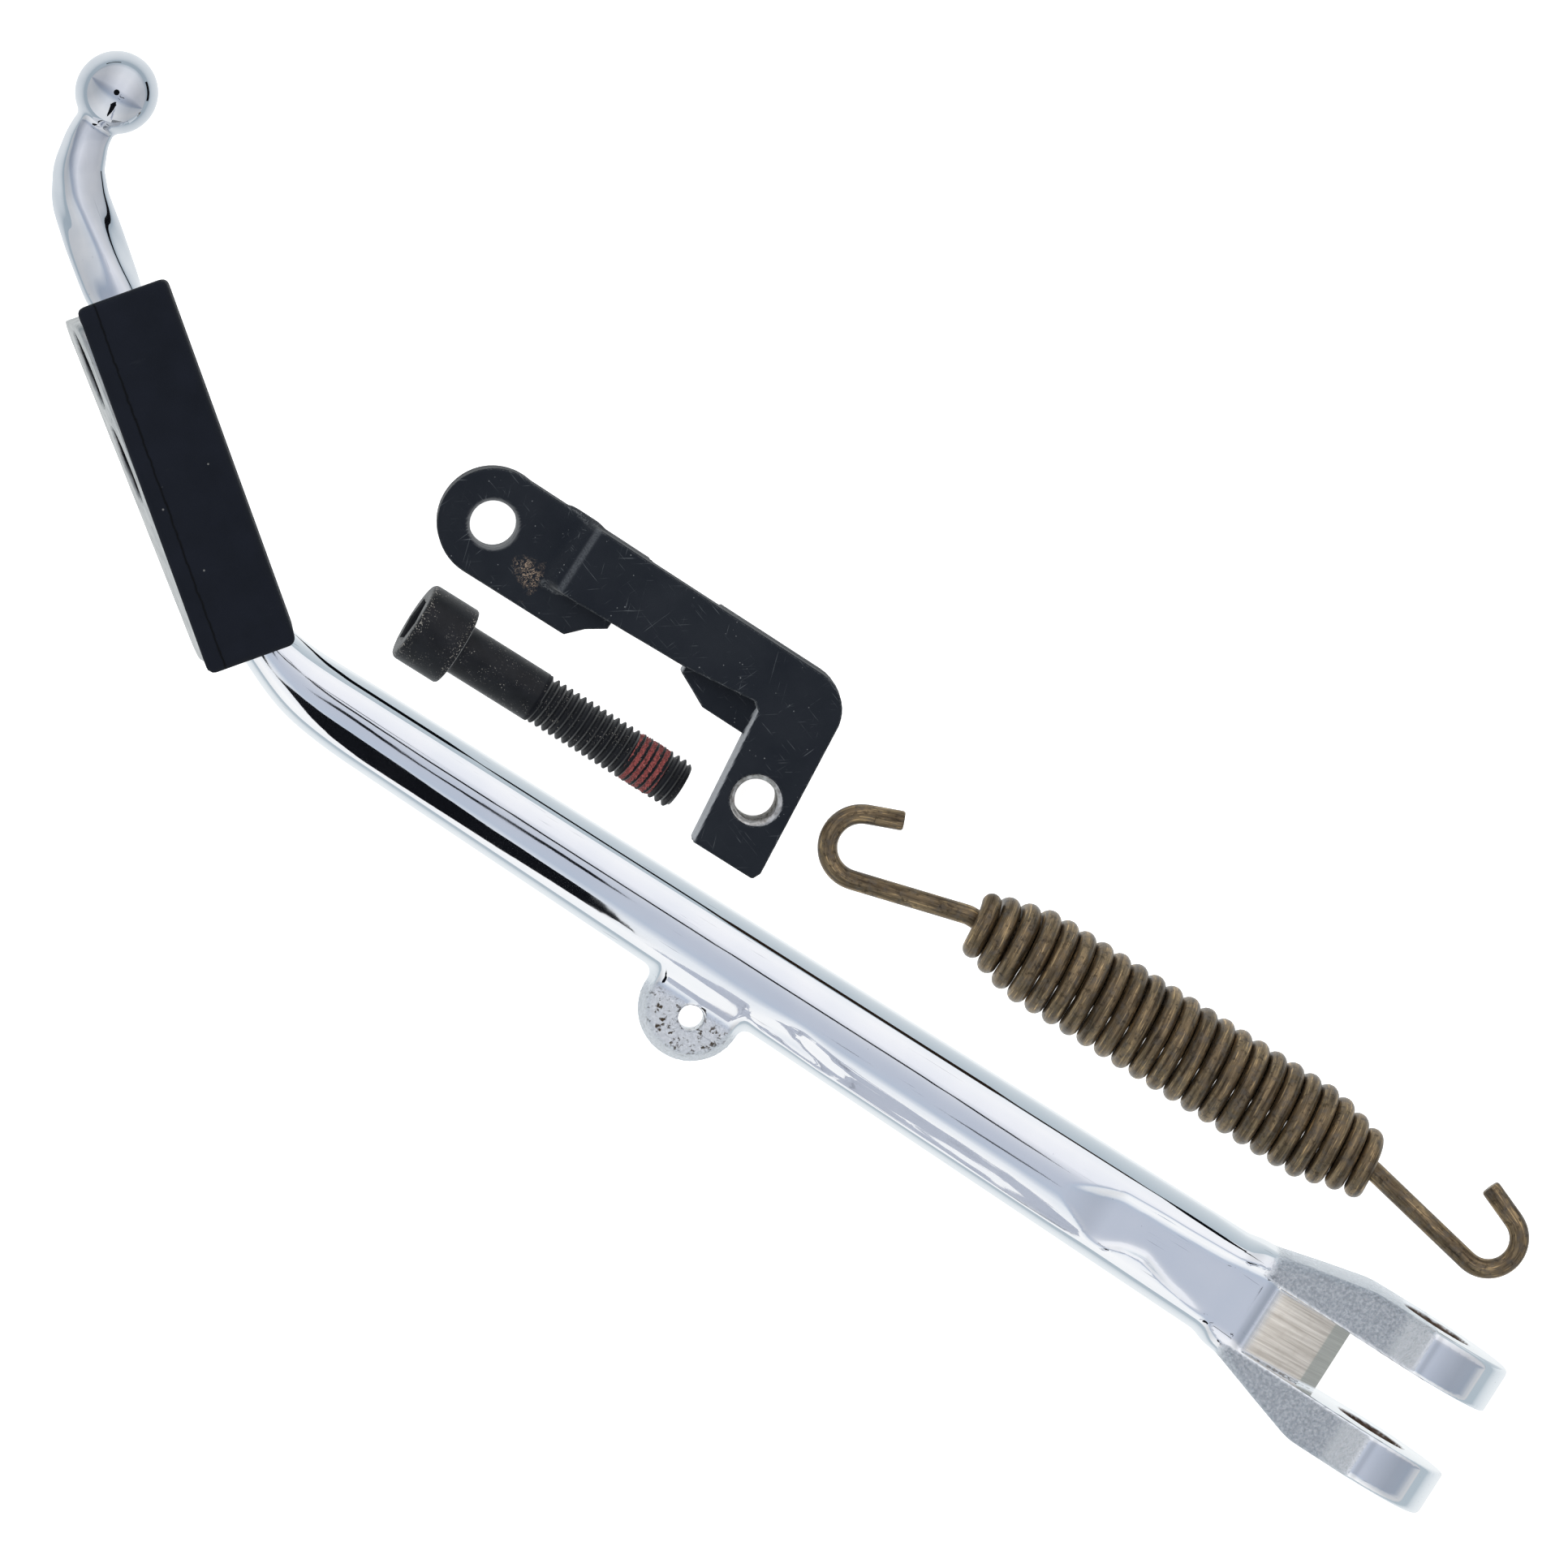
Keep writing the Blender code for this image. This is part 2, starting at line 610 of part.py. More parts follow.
def thread_mesh():
    """A solid V-thread: one root and one crest point at each step along the helix."""
    length = SCREW_LENGTH - SHANK_LENGTH + THREAD_OVERLAP
    steps = round((length / SCREW_PITCH - 1) * THREAD_SEGMENTS)
    bm = bmesh.new()
    roots = []
    crests = []
    for step in range(steps + THREAD_SEGMENTS + 1):
        roots.append(bm.verts.new(thread_point(step, ROOT_RADIUS, 0.0)[0]))
    for step in range(steps + 1):
        depth = thread_point(step, CREST_RADIUS, SCREW_PITCH / 2)[1]
        chamfered = TIP_RADIUS + max(SCREW_LENGTH - depth - SCREW_PITCH, 0.0)
        radius = min(CREST_RADIUS, chamfered)
        crests.append(bm.verts.new(thread_point(step, radius, SCREW_PITCH / 2)[0]))
    for k in range(steps):
        bm.faces.new((roots[k], roots[k + 1], crests[k + 1], crests[k]))
        next_turn = k + THREAD_SEGMENTS
        bm.faces.new((crests[k], crests[k + 1], roots[next_turn + 1], roots[next_turn]))
    for first, sign in ((0, 1), (steps, -1)):
        loop = roots[first:first + THREAD_SEGMENTS + 1] + [crests[first]]
        middle = sum((vertex.co.z for vertex in loop), 0.0) / len(loop)
        centre = bm.verts.new((0.0, 0.0, middle + sign * SCREW_PITCH / 2))
        for one, two in zip(loop, loop[1:] + loop[:1]):
            bm.faces.new((centre, one, two))
    bmesh.ops.recalc_face_normals(bm, faces=bm.faces)
    mesh = bpy.data.meshes.new("thread")
    bm.to_mesh(mesh)
    bm.free()
    return mesh


def turned(name, profile, steps):
    """A turned solid: the profile's radii and heights, from top to bottom, about Z."""
    bm = bmesh.new()
    line = [bm.verts.new((radius, 0.0, height)) for radius, height in profile]
    for one, two in zip(line, line[1:]):
        bm.edges.new((one, two))
    mesh = bpy.data.meshes.new(name)
    bm.to_mesh(mesh)
    bm.free()
    obj = bpy.data.objects.new(name, mesh)
    TOOLS.objects.link(obj)
    screw = obj.modifiers.new("turn", "SCREW")
    screw.axis = "Z"
    screw.steps = steps
    screw.render_steps = steps
    screw.use_merge_vertices = True
    screw.merge_threshold = 1e-6
    return tidy_mesh(evaluated_mesh(obj))


def build_screw(axis):
    profile = [
        (0.0, HEAD_HEIGHT),
        (HEAD_RADIUS - HEAD_EDGE, HEAD_HEIGHT),
        (HEAD_RADIUS, HEAD_HEIGHT - HEAD_EDGE),
        (HEAD_RADIUS, HEAD_EDGE / 2),
        (HEAD_RADIUS - HEAD_EDGE / 2, 0.0),
        (SHANK_RADIUS, 0.0),
        (SHANK_RADIUS, -SHANK_LENGTH),
        (0.0, -SHANK_LENGTH),
    ]
    screw = add_part("cap_screw", turned("cap_screw", profile, 32), axis, "black_oxide")
    combine(screw, add_tool("thread", thread_mesh(), axis), "UNION")
    corner_radius = SOCKET_ACROSS_FLATS / math.sqrt(3)
    socket_frame = Matrix.Translation((0.0, 0.0, HEAD_HEIGHT))
    socket = add_tool("socket", cylinder("socket", corner_radius, 2 * SOCKET_DEPTH, 6), axis, socket_frame)
    combine(screw, socket, "DIFFERENCE")


def build_patch(axis):
    """A strip of compound wound along the thread's groove, clear of its flanks."""
    first = PATCH_FIRST_TURN * THREAD_SEGMENTS
    bm = bmesh.new()
    rings = []
    for step in range(first, first + PATCH_TURNS * THREAD_SEGMENTS + 1):
        rings.append([
            bm.verts.new(thread_point(step, PATCH_INNER_RADIUS, 0.0)[0]),
            bm.verts.new(thread_point(step, PATCH_RADIUS, -PATCH_HALF_WIDTH)[0]),
            bm.verts.new(thread_point(step, PATCH_RADIUS, PATCH_HALF_WIDTH)[0]),
        ])
    for one, two in zip(rings, rings[1:]):
        for k in range(3):
            following = (k + 1) % 3
            bm.faces.new((one[k], one[following], two[following], two[k]))
    bm.faces.new(rings[0])
    bm.faces.new(rings[-1])
    bmesh.ops.recalc_face_normals(bm, faces=bm.faces)
    mesh = bpy.data.meshes.new("thread_lock_patch")
    bm.to_mesh(mesh)
    bm.free()
    add_part("thread_lock_patch", mesh, axis, "locking_compound")


# ---------------------------------------------------------------- spring

def coil_points():
    """Points along a right-handed close-wound coil whose end turns draw in."""
    steps = round(COIL_TURNS * COIL_SEGMENTS)
    points = []
    for i in range(steps + 1):
        turn = i / COIL_SEGMENTS
        from_end = min(turn, COIL_TURNS - turn)
        share = min(max((from_end - COIL_FLAT_TURNS) / COIL_TAPER_TURNS, 0.0), 1.0)
        radius = COIL_END_RADIUS + (COIL_RADIUS - COIL_END_RADIUS) * share
        angle = COIL_START_ANGLE + 2 * math.pi * turn
        x = (turn - COIL_TURNS / 2) * COIL_PITCH
        points.append((x, radius * math.cos(angle), radius * math.sin(angle)))
    return points


def hook_points(side, kink, bend, radius, sweep, tip):
    """Head end to tip: along the spring's axis, out to the bend, round it, and along the tip."""
    points = [
        (side * (HOOK_HEAD_X - HOOK_HEAD_LENGTH / 2), 0.0),
        (side * kink, 0.0),
    ]
    points += arc(bend, radius, sweep[0], sweep[1], HOOK_ARC_STEPS)
    turning = math.copysign(1.0, sweep[1] - sweep[0])
    end = points[-1]
    points.append((
        end[0] - turning * tip * math.sin(sweep[1]),
        end[1] + turning * tip * math.cos(sweep[1]),
    ))
    return [(x, y, 0.0) for x, y in points]


def build_hook(name, side, points, axis):
    hook = add_part(name, wire(name, points, WIRE_RADIUS), axis, "spring_wire")
    middle = side * (HOOK_HEAD_X - HOOK_HEAD_LENGTH / 2)
    head_frame = Matrix.Translation((middle, 0.0, 0.0)) @ Matrix.Rotation(math.radians(90), 4, "Y")
    head_mesh = rounded(cylinder(name + "_head", HOOK_HEAD_RADIUS, HOOK_HEAD_LENGTH, 20), 0.5 * MM, 1)
    combine(hook, add_tool(name + "_head", head_mesh, axis, head_frame), "UNION")


def build_spring(axis):
    add_part("spring_coil", wire("spring_coil", coil_points(), COIL_WIRE_RADIUS), axis, "spring_wire")
    left = hook_points(
        -1, LEFT_HOOK_KINK, LEFT_HOOK_BEND, LEFT_HOOK_RADIUS, LEFT_HOOK_ARC, LEFT_HOOK_TIP
    )
    right = hook_points(
        1, RIGHT_HOOK_KINK, RIGHT_HOOK_BEND, RIGHT_HOOK_RADIUS, RIGHT_HOOK_ARC, RIGHT_HOOK_TIP
    )
    build_hook("hook_left", -1, left, axis)
    build_hook("hook_right", 1, right, axis)


# ---------------------------------------------------------------- layout

def screw_frame():
    """The screw lies on the rim under its head and on the crests near its tip."""
    reach = SCREW_LENGTH - SCREW_PITCH
    dip = math.asin((HEAD_RADIUS - CREST_RADIUS) / reach)
    height = HEAD_RADIUS * math.cos(dip)
    lie_down = Matrix.Rotation(math.radians(-90) + dip, 4, "Y")
    return plane_frame(SCREW_PLACE, SCREW_HEADING, height) @ lie_down


def centre_layout(origin):
    """Move the whole kit so that the middle of its box's underside is on the origin."""
    bpy.context.view_layer.update()
    graph = bpy.context.evaluated_depsgraph_get()
    corners = []
    for obj in PARTS.objects:
        if obj.type == "MESH":
            solid = obj.evaluated_get(graph)
            corners += [solid.matrix_world @ vertex.co for vertex in solid.data.vertices]
    low = [min(corner[i] for corner in corners) for i in range(3)]
    high = [max(corner[i] for corner in corners) for i in range(3)]
    origin.location = (-(low[0] + high[0]) / 2, -(low[1] + high[1]) / 2, -low[2])
    bpy.context.view_layer.update()


def main():
    origin = add_empty("kit_origin", Matrix.Identity(4))
    leg_pivot = add_empty("leg_pivot", plane_frame(LEG_PLACE, LEG_HEADING, EYE_RADIUS), origin)
    screw_axis = add_empty("screw_axis", screw_frame(), origin)
    spring_axis = add_empty("spring_axis", plane_frame(SPRING_PLACE, SPRING_HEADING, SPRING_HEIGHT), origin)
    build_leg(leg_pivot)
    build_pad(leg_pivot)
    build_bracket(origin, plane_frame(BRACKET_PLACE, BRACKET_HEADING))
    build_screw(screw_axis)
    build_patch(screw_axis)
    build_spring(spring_axis)
    centre_layout(origin)


clear_scene()
PARTS = make_collection("kickstand")
TOOLS = make_collection("cutters")
main()
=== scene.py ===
"""Looks for the motorcycle kickstand kit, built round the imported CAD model.

Each piece is shaped in millimetres in a frame of its own (leg, pad, plate, bracket, screw or
spring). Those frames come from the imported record's joints and mounts. Forged, cut and moulded
pieces are skinned from distance fields; wires and threads are swept rings.
"""

import json
import math

import bpy
import numpy as np
from mathutils import Matrix, Vector


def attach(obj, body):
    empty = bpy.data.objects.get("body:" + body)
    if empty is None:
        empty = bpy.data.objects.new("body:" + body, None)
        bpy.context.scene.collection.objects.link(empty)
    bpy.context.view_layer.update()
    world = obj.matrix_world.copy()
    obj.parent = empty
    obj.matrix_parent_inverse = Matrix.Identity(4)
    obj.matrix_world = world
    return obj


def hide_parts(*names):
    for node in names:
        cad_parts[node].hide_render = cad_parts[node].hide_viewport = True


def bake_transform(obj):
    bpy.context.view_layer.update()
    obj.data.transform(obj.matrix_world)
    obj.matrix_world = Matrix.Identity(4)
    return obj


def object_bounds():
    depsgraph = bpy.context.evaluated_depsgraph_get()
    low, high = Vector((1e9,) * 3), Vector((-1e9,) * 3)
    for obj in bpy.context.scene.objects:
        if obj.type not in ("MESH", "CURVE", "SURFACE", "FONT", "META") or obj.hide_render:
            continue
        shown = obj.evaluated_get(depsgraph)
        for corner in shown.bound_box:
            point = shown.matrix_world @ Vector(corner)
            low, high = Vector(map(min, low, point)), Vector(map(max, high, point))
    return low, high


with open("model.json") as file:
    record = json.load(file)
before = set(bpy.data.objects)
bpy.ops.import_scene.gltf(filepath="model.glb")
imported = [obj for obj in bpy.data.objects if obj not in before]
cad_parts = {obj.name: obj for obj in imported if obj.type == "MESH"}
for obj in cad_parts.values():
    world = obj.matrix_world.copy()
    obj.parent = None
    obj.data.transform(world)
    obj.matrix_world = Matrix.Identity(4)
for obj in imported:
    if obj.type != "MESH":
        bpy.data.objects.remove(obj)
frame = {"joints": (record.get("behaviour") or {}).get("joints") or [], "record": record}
CAD_LOW, CAD_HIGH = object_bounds()

MM = 0.001
UP = Vector((0.0, 0.0, 1.0))
CURVE_STEP = 0.1                    # spacing of the samples that a curve is kept in, mm

# Clevis, in the leg's frame
EYE_RADIUS = 16.5
BORE_RADIUS = 7.0
SLOT_HALF = 7.0
ROOT_X = -38.0
ROOT_HALF_DEPTH = 9.2
EAR_HIGH = [(-42.0, 11.8), (-34.0, 12.2), (-14.0, 16.3), (17.0, 16.3)]
EAR_LOW = [(-42.0, -9.3), (-34.0, -9.9), (-14.0, -16.3), (17.0, -16.3)]
EAR_CORNERS = [(-40.0, 5.0), (-34.0, 4.0), (-24.0, 1.6), (17.0, 1.4)]
EAR_STEP_X = -0.6                   # where the rough forging gives way to the ground ear end
EAR_STEP = 0.3
EAR_STEP_RUN = 1.2
ROOT_EDGE = 3.0
CLEVIS_FILLET = 2.0
HOLE_EDGE = 0.5
BORE_EDGE = 0.6
SLOT_KNEE = (-16.8, 2.0)
SLOT_FLOOR_X = -12.5
SLOT_SLOPES = (math.radians(57.9), math.radians(35.6))
MACHINED = (-31.0, -10.0)           # where along the leg the slot's floor is ground bright
CAST_START = -34.5                  # where the rough forging begins, and how long its facet is
# length of the facet that carries the painted highlight
HIGHLIGHT_FACET_LENGTH = 8.0

# Bar: place, half width and half depth of its section
BAR_STATIONS = [
    (-236.0, 4.4, 7.6, 8.2),
    (-193.6, 3.78, 8.22, 8.64),
    (-151.2, 3.16, 8.84, 9.08),
    (-108.8, 2.54, 9.46, 9.52),
    (-66.4, 1.92, 10.08, 9.96),
    (-24.0, 1.3, 10.7, 10.4),
    (-10.0, 1.1, 10.9, 10.5),
]
BAR_STOP = -24.0
BAR_POWER = 2.8

# Valley along the lower side of the bar, between the lug and the spoon
VALLEY_Y = [(-141, -2.4), (-133, -2.0), (-126, -3.0), (-119, -3.1), (-87, -3.4), (-72, -4.2)]
VALLEY_DEPTH = [(-143, 0.0), (-137, 0.5), (-132, 0.75), (-120, 0.45), (-85, 0.4), (-66, 0.0)]
VALLEY_HALF_WIDTH = 1.5

# Spoon: its two borders and its floor
SPOON_HIGH = [(-78, 1.6), (-70.5, 4.1), (-64.2, 6.1), (-51.1, 6.4), (-42.2, 6.9), (-32.2, 8.2), (-26, 8.2)]
SPOON_LOW = [
    (-78, 1.2), (-75, -0.3), (-71, -2.0), (-65.8, -4.6), (-63.1, -4.3), (-59, -2.2),
    (-55, -1.5), (-49.2, -3.5), (-43.3, -4.9), (-35.2, -7.0), (-26, -7.6),
]
SPOON_FLOOR = [
    (-82, 13.0), (-75, 10.3), (-66, 8.7), (-55, 8.3), (-40, 8.6), (-31, 9.6), (-27, 15.0), (-20, 22.0),
]
SPOON_WALL = 1.6                    # steepness of its walls, and how softly they begin
SPOON_SOFTNESS = 0.35
SPOON_LIP = 0.7

# Spring lug
LUG_CENTRE = (-152.2, -7.8)
LUG_RADIUS = 10.2
LUG_LOW, LUG_HIGH = -1.2, 6.0
LUG_ROOT_Y = BAR_STATIONS[2][1]
LUG_DRAFT = 0.5
LUG_EDGE = 1.0
LUG_FILLET = 2.2
LUG_HOLE = (-151.5, -9.2)
LUG_HOLE_RADIUS = 2.4
LUG_CASTING = 0.55                  # how rough its face is, as a share of the ears' roughness

# Skin grids: places and the spacing up to the next, for each axis
BAR_GRID = [
    [(-292, 0.8), (-176, 0.5), (-124, 0.8), (-84, 0.5), (19, 0)],
    [(-21, 0.5), (34, 0)],
    [(-18, 0.5), (18, 0)],
]
ARM_GRID = [[(-81, 0.35), (-30, 1.0), (4, 0)], [(-12, 0.35), (21, 0)], [(-10, 0.35), (10, 0)]]
BRACKET_GRID = [[(-12, 0.4), (80, 0)], [(-31, 0.4), (12, 0)], [(-1, 0.4), (15, 0)]]
PAD_STEPS = (0.7, 0.45, 0.6)

# Pad's frame in the leg's, and the foot core and toe arm in the pad's frame
PAD_CENTRE = (-287.2, 27.4)
PAD_HEADING = math.radians(-37.9)
PAD_SIZE = (73.4, 17.7, 33.0)
PAD_EDGE = 1.7
PAD_DRAFT = math.radians(5)
PAD_END_EDGE = 1.2
ARM_STATIONS = [
    (-71.3, 12.0, 4.0, 4.1),
    (-69.5, 9.2, 4.1, 4.2),
    (-65.0, 3.8, 4.6, 4.6),
    (-60.0, 0.3, 5.3, 5.2),
    (-54.5, -1.3, 5.9, 5.8),
    (-47.0, -1.4, 6.1, 6.4),
    (-37.0, -1.4, 5.9, 7.2),
    (-33.5, -1.1, 5.4, 7.6),
    (-28.0, -0.8, 5.1, 8.0),
    (-12.0, -0.5, 5.2, 8.8),
]
FOOT_STATIONS = [
    (10.0, 0.3, 5.0, 8.8),
    (27.0, 1.0, 4.8, 8.2),
    (37.0, 3.3, 5.2, 7.8),
    (46.0, 7.3, 6.9, 8.1),
]
ARM_POWER = 3.1
ARM_INSET = 0.4
ARM_TWIST = [(-75, 85.0), (-65, 75.0), (-57, 62.0), (-34, 2.0), (-20, 0.0)]
JOIN_X = 2.0                        # inside the pad, where bar and toe arm meet
BALL_CENTRE = (-71.3, 12.0)
BALL_RADIUS = 7.87
BALL_NECK = 0.9
CORE_GAP = 0.3
CREASE_Y = -5.4
CREASE_TILT = math.radians(9)

# Wear plate: +X along the pad, +Y to its top, +Z out of its ground side
PLATE_SHIFT = 1.2
PLATE_BACK = -7.0
PLATE_SIZE = (69.0, 29.0)
PLATE_CORNER = 4.0
PLATE_THICKNESS = 2.95
PLATE_TAPER = 0.03
PLATE_LEAN = 0.09
PLATE_EDGE = 0.2
WINDOW_MIDDLES = (-25.0, -5.8)
WINDOW_RADII = (8.0, 6.5)

# Bracket
BRACKET_HIGH = 14.0
BRACKET_PLATE = 8.0
BRACKET_EDGE = 0.55
RAMP_FOOT = (12.0, 8.0)
RAMP_TILT = math.radians(50.2)
RAMP_ROUNDING = 2.2
JOIN_FILLET = 0.4
BEND_FILLET = 2.4                   # extra fillet under the ramp, as far as BEND_END
BEND_END = 20.0
PLAIN_HOLE_RADIUS = 4.45
TAPPED_HOLE = (69.8, -16.5)
TAPPED_HOLE_RADIUS = 4.9
SEAT_POINT = (17.0, 0.0)            # where the record's two bracket mounts are, in this frame
ARM_POINT = (40.0, 4.0)
CORNER_CENTRE = (67.4, 2.4)
CORNER_RADIUS = 8.0
BRACKET_TOP = CORNER_CENTRE[1] + CORNER_RADIUS
ARM_CORNER = (11.0, BRACKET_TOP)
EYE_OUTER_RADIUS = 10.6
SHORT_LEG_END = [(78.2, -27.7), (77.4, -29.4), (64.2, -29.6)]
ARM_LOWER_EDGE = [(60.8, -2.0), (59.4, -0.9), (44.2, -2.7), (13.0, -3.9)]
EYE_FLAP = [(22.6, -10.3), (25.4, -7.3), (29.0, -4.9), (29.0, BRACKET_TOP)]
FOOT_FLAP = [(61.6, -7.6), (52.1, -7.6), (48.5, -5.8), (45.2, -4.2), (44.7, BRACKET_TOP)]
BRACKET_SCRATCHES = ((18, 0.655), (-35, 0.665), (72, 0.67), (-68, 0.675))   # degrees, noise level
SCUFF_CENTRE = (10.5, -4.6, 8.2)

# Cap screw
PITCH = 1.5
SCREW_LENGTH = 50.0
SHANK_RADIUS = 5.0
CREST_RADIUS = 4.9
ROOT_RADIUS = 4.08
TIP_RADIUS = 4.15
HEAD_RADIUS = 7.97
HEAD_HEIGHT = 10.0
SOCKET_ACROSS_FLATS = 8.0
SOCKET_DEPTH = 5.5
SOCKET_CONE = 1.6
HEAD_PROFILE = [                    # radius and height, from the shank up to the head's top
    (SHANK_RADIUS, -8.0), (SHANK_RADIUS, -1.0), (SHANK_RADIUS + 0.1, -0.45), (SHANK_RADIUS + 0.5, -0.08),
    (SHANK_RADIUS + 0.8, 0.0), (HEAD_RADIUS - 0.55, 0.0), (HEAD_RADIUS - 0.2, 0.12), (HEAD_RADIUS, 0.5),
    (HEAD_RADIUS, 1.0), (HEAD_RADIUS, 1.6), (HEAD_RADIUS, 8.4), (HEAD_RADIUS, 9.0),
    (HEAD_RADIUS - 0.12, 9.45), (HEAD_RADIUS - 0.5, 9.85), (HEAD_RADIUS - 0.9, 9.97),
    (HEAD_RADIUS - 1.3, HEAD_HEIGHT), (5.6, HEAD_HEIGHT),
]
SHARP_ANGLE = math.radians(40)
THREAD_START = 17.2
FLANK_START = 0.1                   # where a flank leaves the root, as a share of half the pitch
FLANK_RUN = 0.78
FLANK_ROUNDNESS = 0.35
PATCH_SPAN = (38.4, 45.6)           # depths below the head
PATCH_STEP = 0.14
PATCH_RADIUS = 4.66
PATCH_BACK = 3.9
PATCH_GRAIN = 0.13
TURN_SEGMENTS = 80
THREAD_STEP = PITCH / 20

# Spring
COIL_WIRE = 1.9
HOOK_WIRE = 1.9
COIL_PITCH = 3.9
COIL_TURNS = 22.5
COIL_RADIUS = 7.6
COIL_END_RADIUS = 4.8
COIL_FLAT_TURNS = 0.2
COIL_TAPER_TURNS = 3.0
COIL_START = math.radians(15)
COIL_STEPS = 44                     # per turn
COIL_SIDES = 20
HOOK_SIDES = 28
HOOK_STEP = 0.4
HOOK_BLUR = 1.2
WIRE_END_ROUNDING = 0.25
HEAD_X = 35.9
HOOK_HEAD = (4.0, 2.3)              # radius and length
# kink, bend centre, bend radius, arc in degrees, straight tip
LEFT_HOOK = (-46.0, (-70.2, -0.1), 6.4, (-75.0, -248.0), 7.4)
RIGHT_HOOK = (44.6, (70.6, 0.7), 5.85, (-103.0, 68.0), 8.2)

# Camera
CAMERA_TILT = math.radians(6)
CAMERA_LEAN = Vector((-0.4, 0.92, 0.0)).normalized()
AIM = (-1.7, 0.15)
LENS = 500.0
SENSOR = 36.0
KIT_IN_FRAME = 0.947

# Stage: what the chrome mirrors
FLOOR_HALF = 3000.0
FLOOR_GAP = 0.1
MIRRORED_FLOOR = ((0.93, 0.96, 0.97), (0.46, 0.53, 0.58))   # as chrome shows it, near and far
FLOOR_FADE = (0.012, 0.10)
FAR, NEAR = 0.7, 0.003              # how far a flag stands from the bar, m
FLAG_LIFT = 0.002                   # least height above the floor, m
FLAG_STEPS = 70
FLAG_BLUR = 2.0
FLAG_TAPER = 9.0
LEG_TOP = 12.0                      # points are dropped onto the leg from this height, in small moves
DROP_ROUNDS = 60
DROP_LIMIT = 0.3
DROP_SHARE = 0.7
# Dark flags: each is seen in the bar between two lines of places (x, y) on it
BLACK_BAND = (
    [(-256.5, 4.9), (-247.7, 3.4), (-240.8, 2.7), (-232.4, 2.4), (-223, 2.1), (-217, 1.8), (-202, 1.2),
     (-184, 0.9), (-176, 0.6), (-171.5, -0.1), (-169, -1.2)],
    [(-256.5, 5.2), (-249, 2.9), (-243, 1.0), (-238, -0.2), (-230, -0.9), (-216, -1.1), (-191, -1.2),
     (-176, -1.2), (-169, -1.5)],
)
THIN_LINES = [
    # places along the line, half its width, how far off its flag stands, and the flag's cloth
    ([(-254, 12.4), (-246, 11.0), (-240, 10.6), (-209, 10.4)], 0.24, NEAR, "black"),
    ([(-215, 10.4), (-150, 10.0)], 0.13, NEAR, "black"),
    ([(-163, 10.0), (-88, 9.7)], 0.24, NEAR, "brown"),
    ([(-100, 9.7), (-56, 9.5)], 0.12, NEAR, "brown"),
    ([(-61, 9.6), (-43, 9.3), (-35, 9.3)], 0.22, NEAR, "black"),
    ([(-254, 8.4), (-248, 6.9), (-242, 6.3), (-220, 5.8), (-160, 5.3), (-110, 5.0), (-76, 4.4)],
     0.13, FAR, "black"),
    ([(-247, 5.2), (-237, 5.1), (-219, 4.3), (-190, 4.3), (-173, 4.0)], 0.22, FAR, "black"),
    ([(-137, -0.9), (-133, 0.1), (-128, -0.6), (-119, -2.0), (-87, -2.3), (-74, -2.9)], 0.30, FAR, "grey"),
    ([(-127, 1.6), (-120, 1.7)], 0.15, FAR, "black"),
    ([(-103, 1.4), (-75, 1.2)], 0.10, FAR, "black"),
    ([(-134, -4.2), (-110, -4.4), (-94, -4.9), (-71, -5.6)], 0.20, FAR, "grey"),
]
CLOTHS = {"black": (0.004, 0.0045, 0.006), "brown": (0.030, 0.018, 0.012), "grey": (0.30, 0.32, 0.37)}
# A white card beside the bar keeps the spring and screw out of its reflections
CARD_LINE = [
    (-262.0, 28.0), (-250.0, 20.5), (-240.0, 17.0), (-230.0, 15.8),
    (-46.0, 15.8), (-38.0, 19.5), (20.0, 20.5),
]
CARD_HEIGHTS = (1.0, 26.0)
# Small flags round the ball: middle, and two half sides, in mm from its centre
BALL_FLAGS = [
    ((62.0, 2.0, -2.0), (0.0, 20.0, 0.0), (0.0, 0.0, 5.0)),
    ((-6.0, 62.0, -1.0), (16.0, 0.0, 0.0), (0.0, 0.0, 1.5)),
]
BALL_DOT = (20.0, 2.3)              # distance from the ball's centre towards the eye, and radius
DOT_SIDES = 24
SQUARE = ((-1, -1), (1, -1), (1, 1), (-1, 1))
# Brightness of the studio as the leg's bar sees it: degrees across the bar from straight up, colour
STUDIO = [
    (-90, (0.95, 0.96, 0.97)),
    (-60, (1.00, 1.00, 1.00)),
    (-25, (0.84, 0.87, 0.91)),
    (-12, (0.50, 0.56, 0.66)),
    (-4, (0.52, 0.56, 0.65)),
    (3, (0.62, 0.65, 0.72)),
    (14, (0.88, 0.89, 0.94)),
    (50, (0.96, 0.96, 0.98)),
    (78, (0.90, 0.92, 0.95)),
    (90, (0.62, 0.68, 0.73)),
]
STUDIO_END = (0.10, 0.12, 0.15)     # towards the two ends of the leg
KEY_PLACE = (-0.6, 0.7, 1.6)
KEY_SIZE = 0.9
KEY_POWER = 12.0


# ------------------------------------------------ fields and skins

def smooth_max(a, b, k):
    share = np.clip(0.5 + 0.5 * (a - b) / k, 0.0, 1.0)
    return b + (a - b) * share + k * share * (1.0 - share)


def smooth_min(a, b, k):
    return -smooth_max(-a, -b, k)


def smooth_step(value):
    t = np.clip(value, 0.0, 1.0)
    return t * t * (3.0 - 2.0 * t)


def rising(value, start, width):
    return smooth_step((value - start) / width)


def falling(value, end, width):
    return smooth_step((end - value) / width)


def soft_plus(value, softness):
    return softness * np.logaddexp(0.0, value / softness)


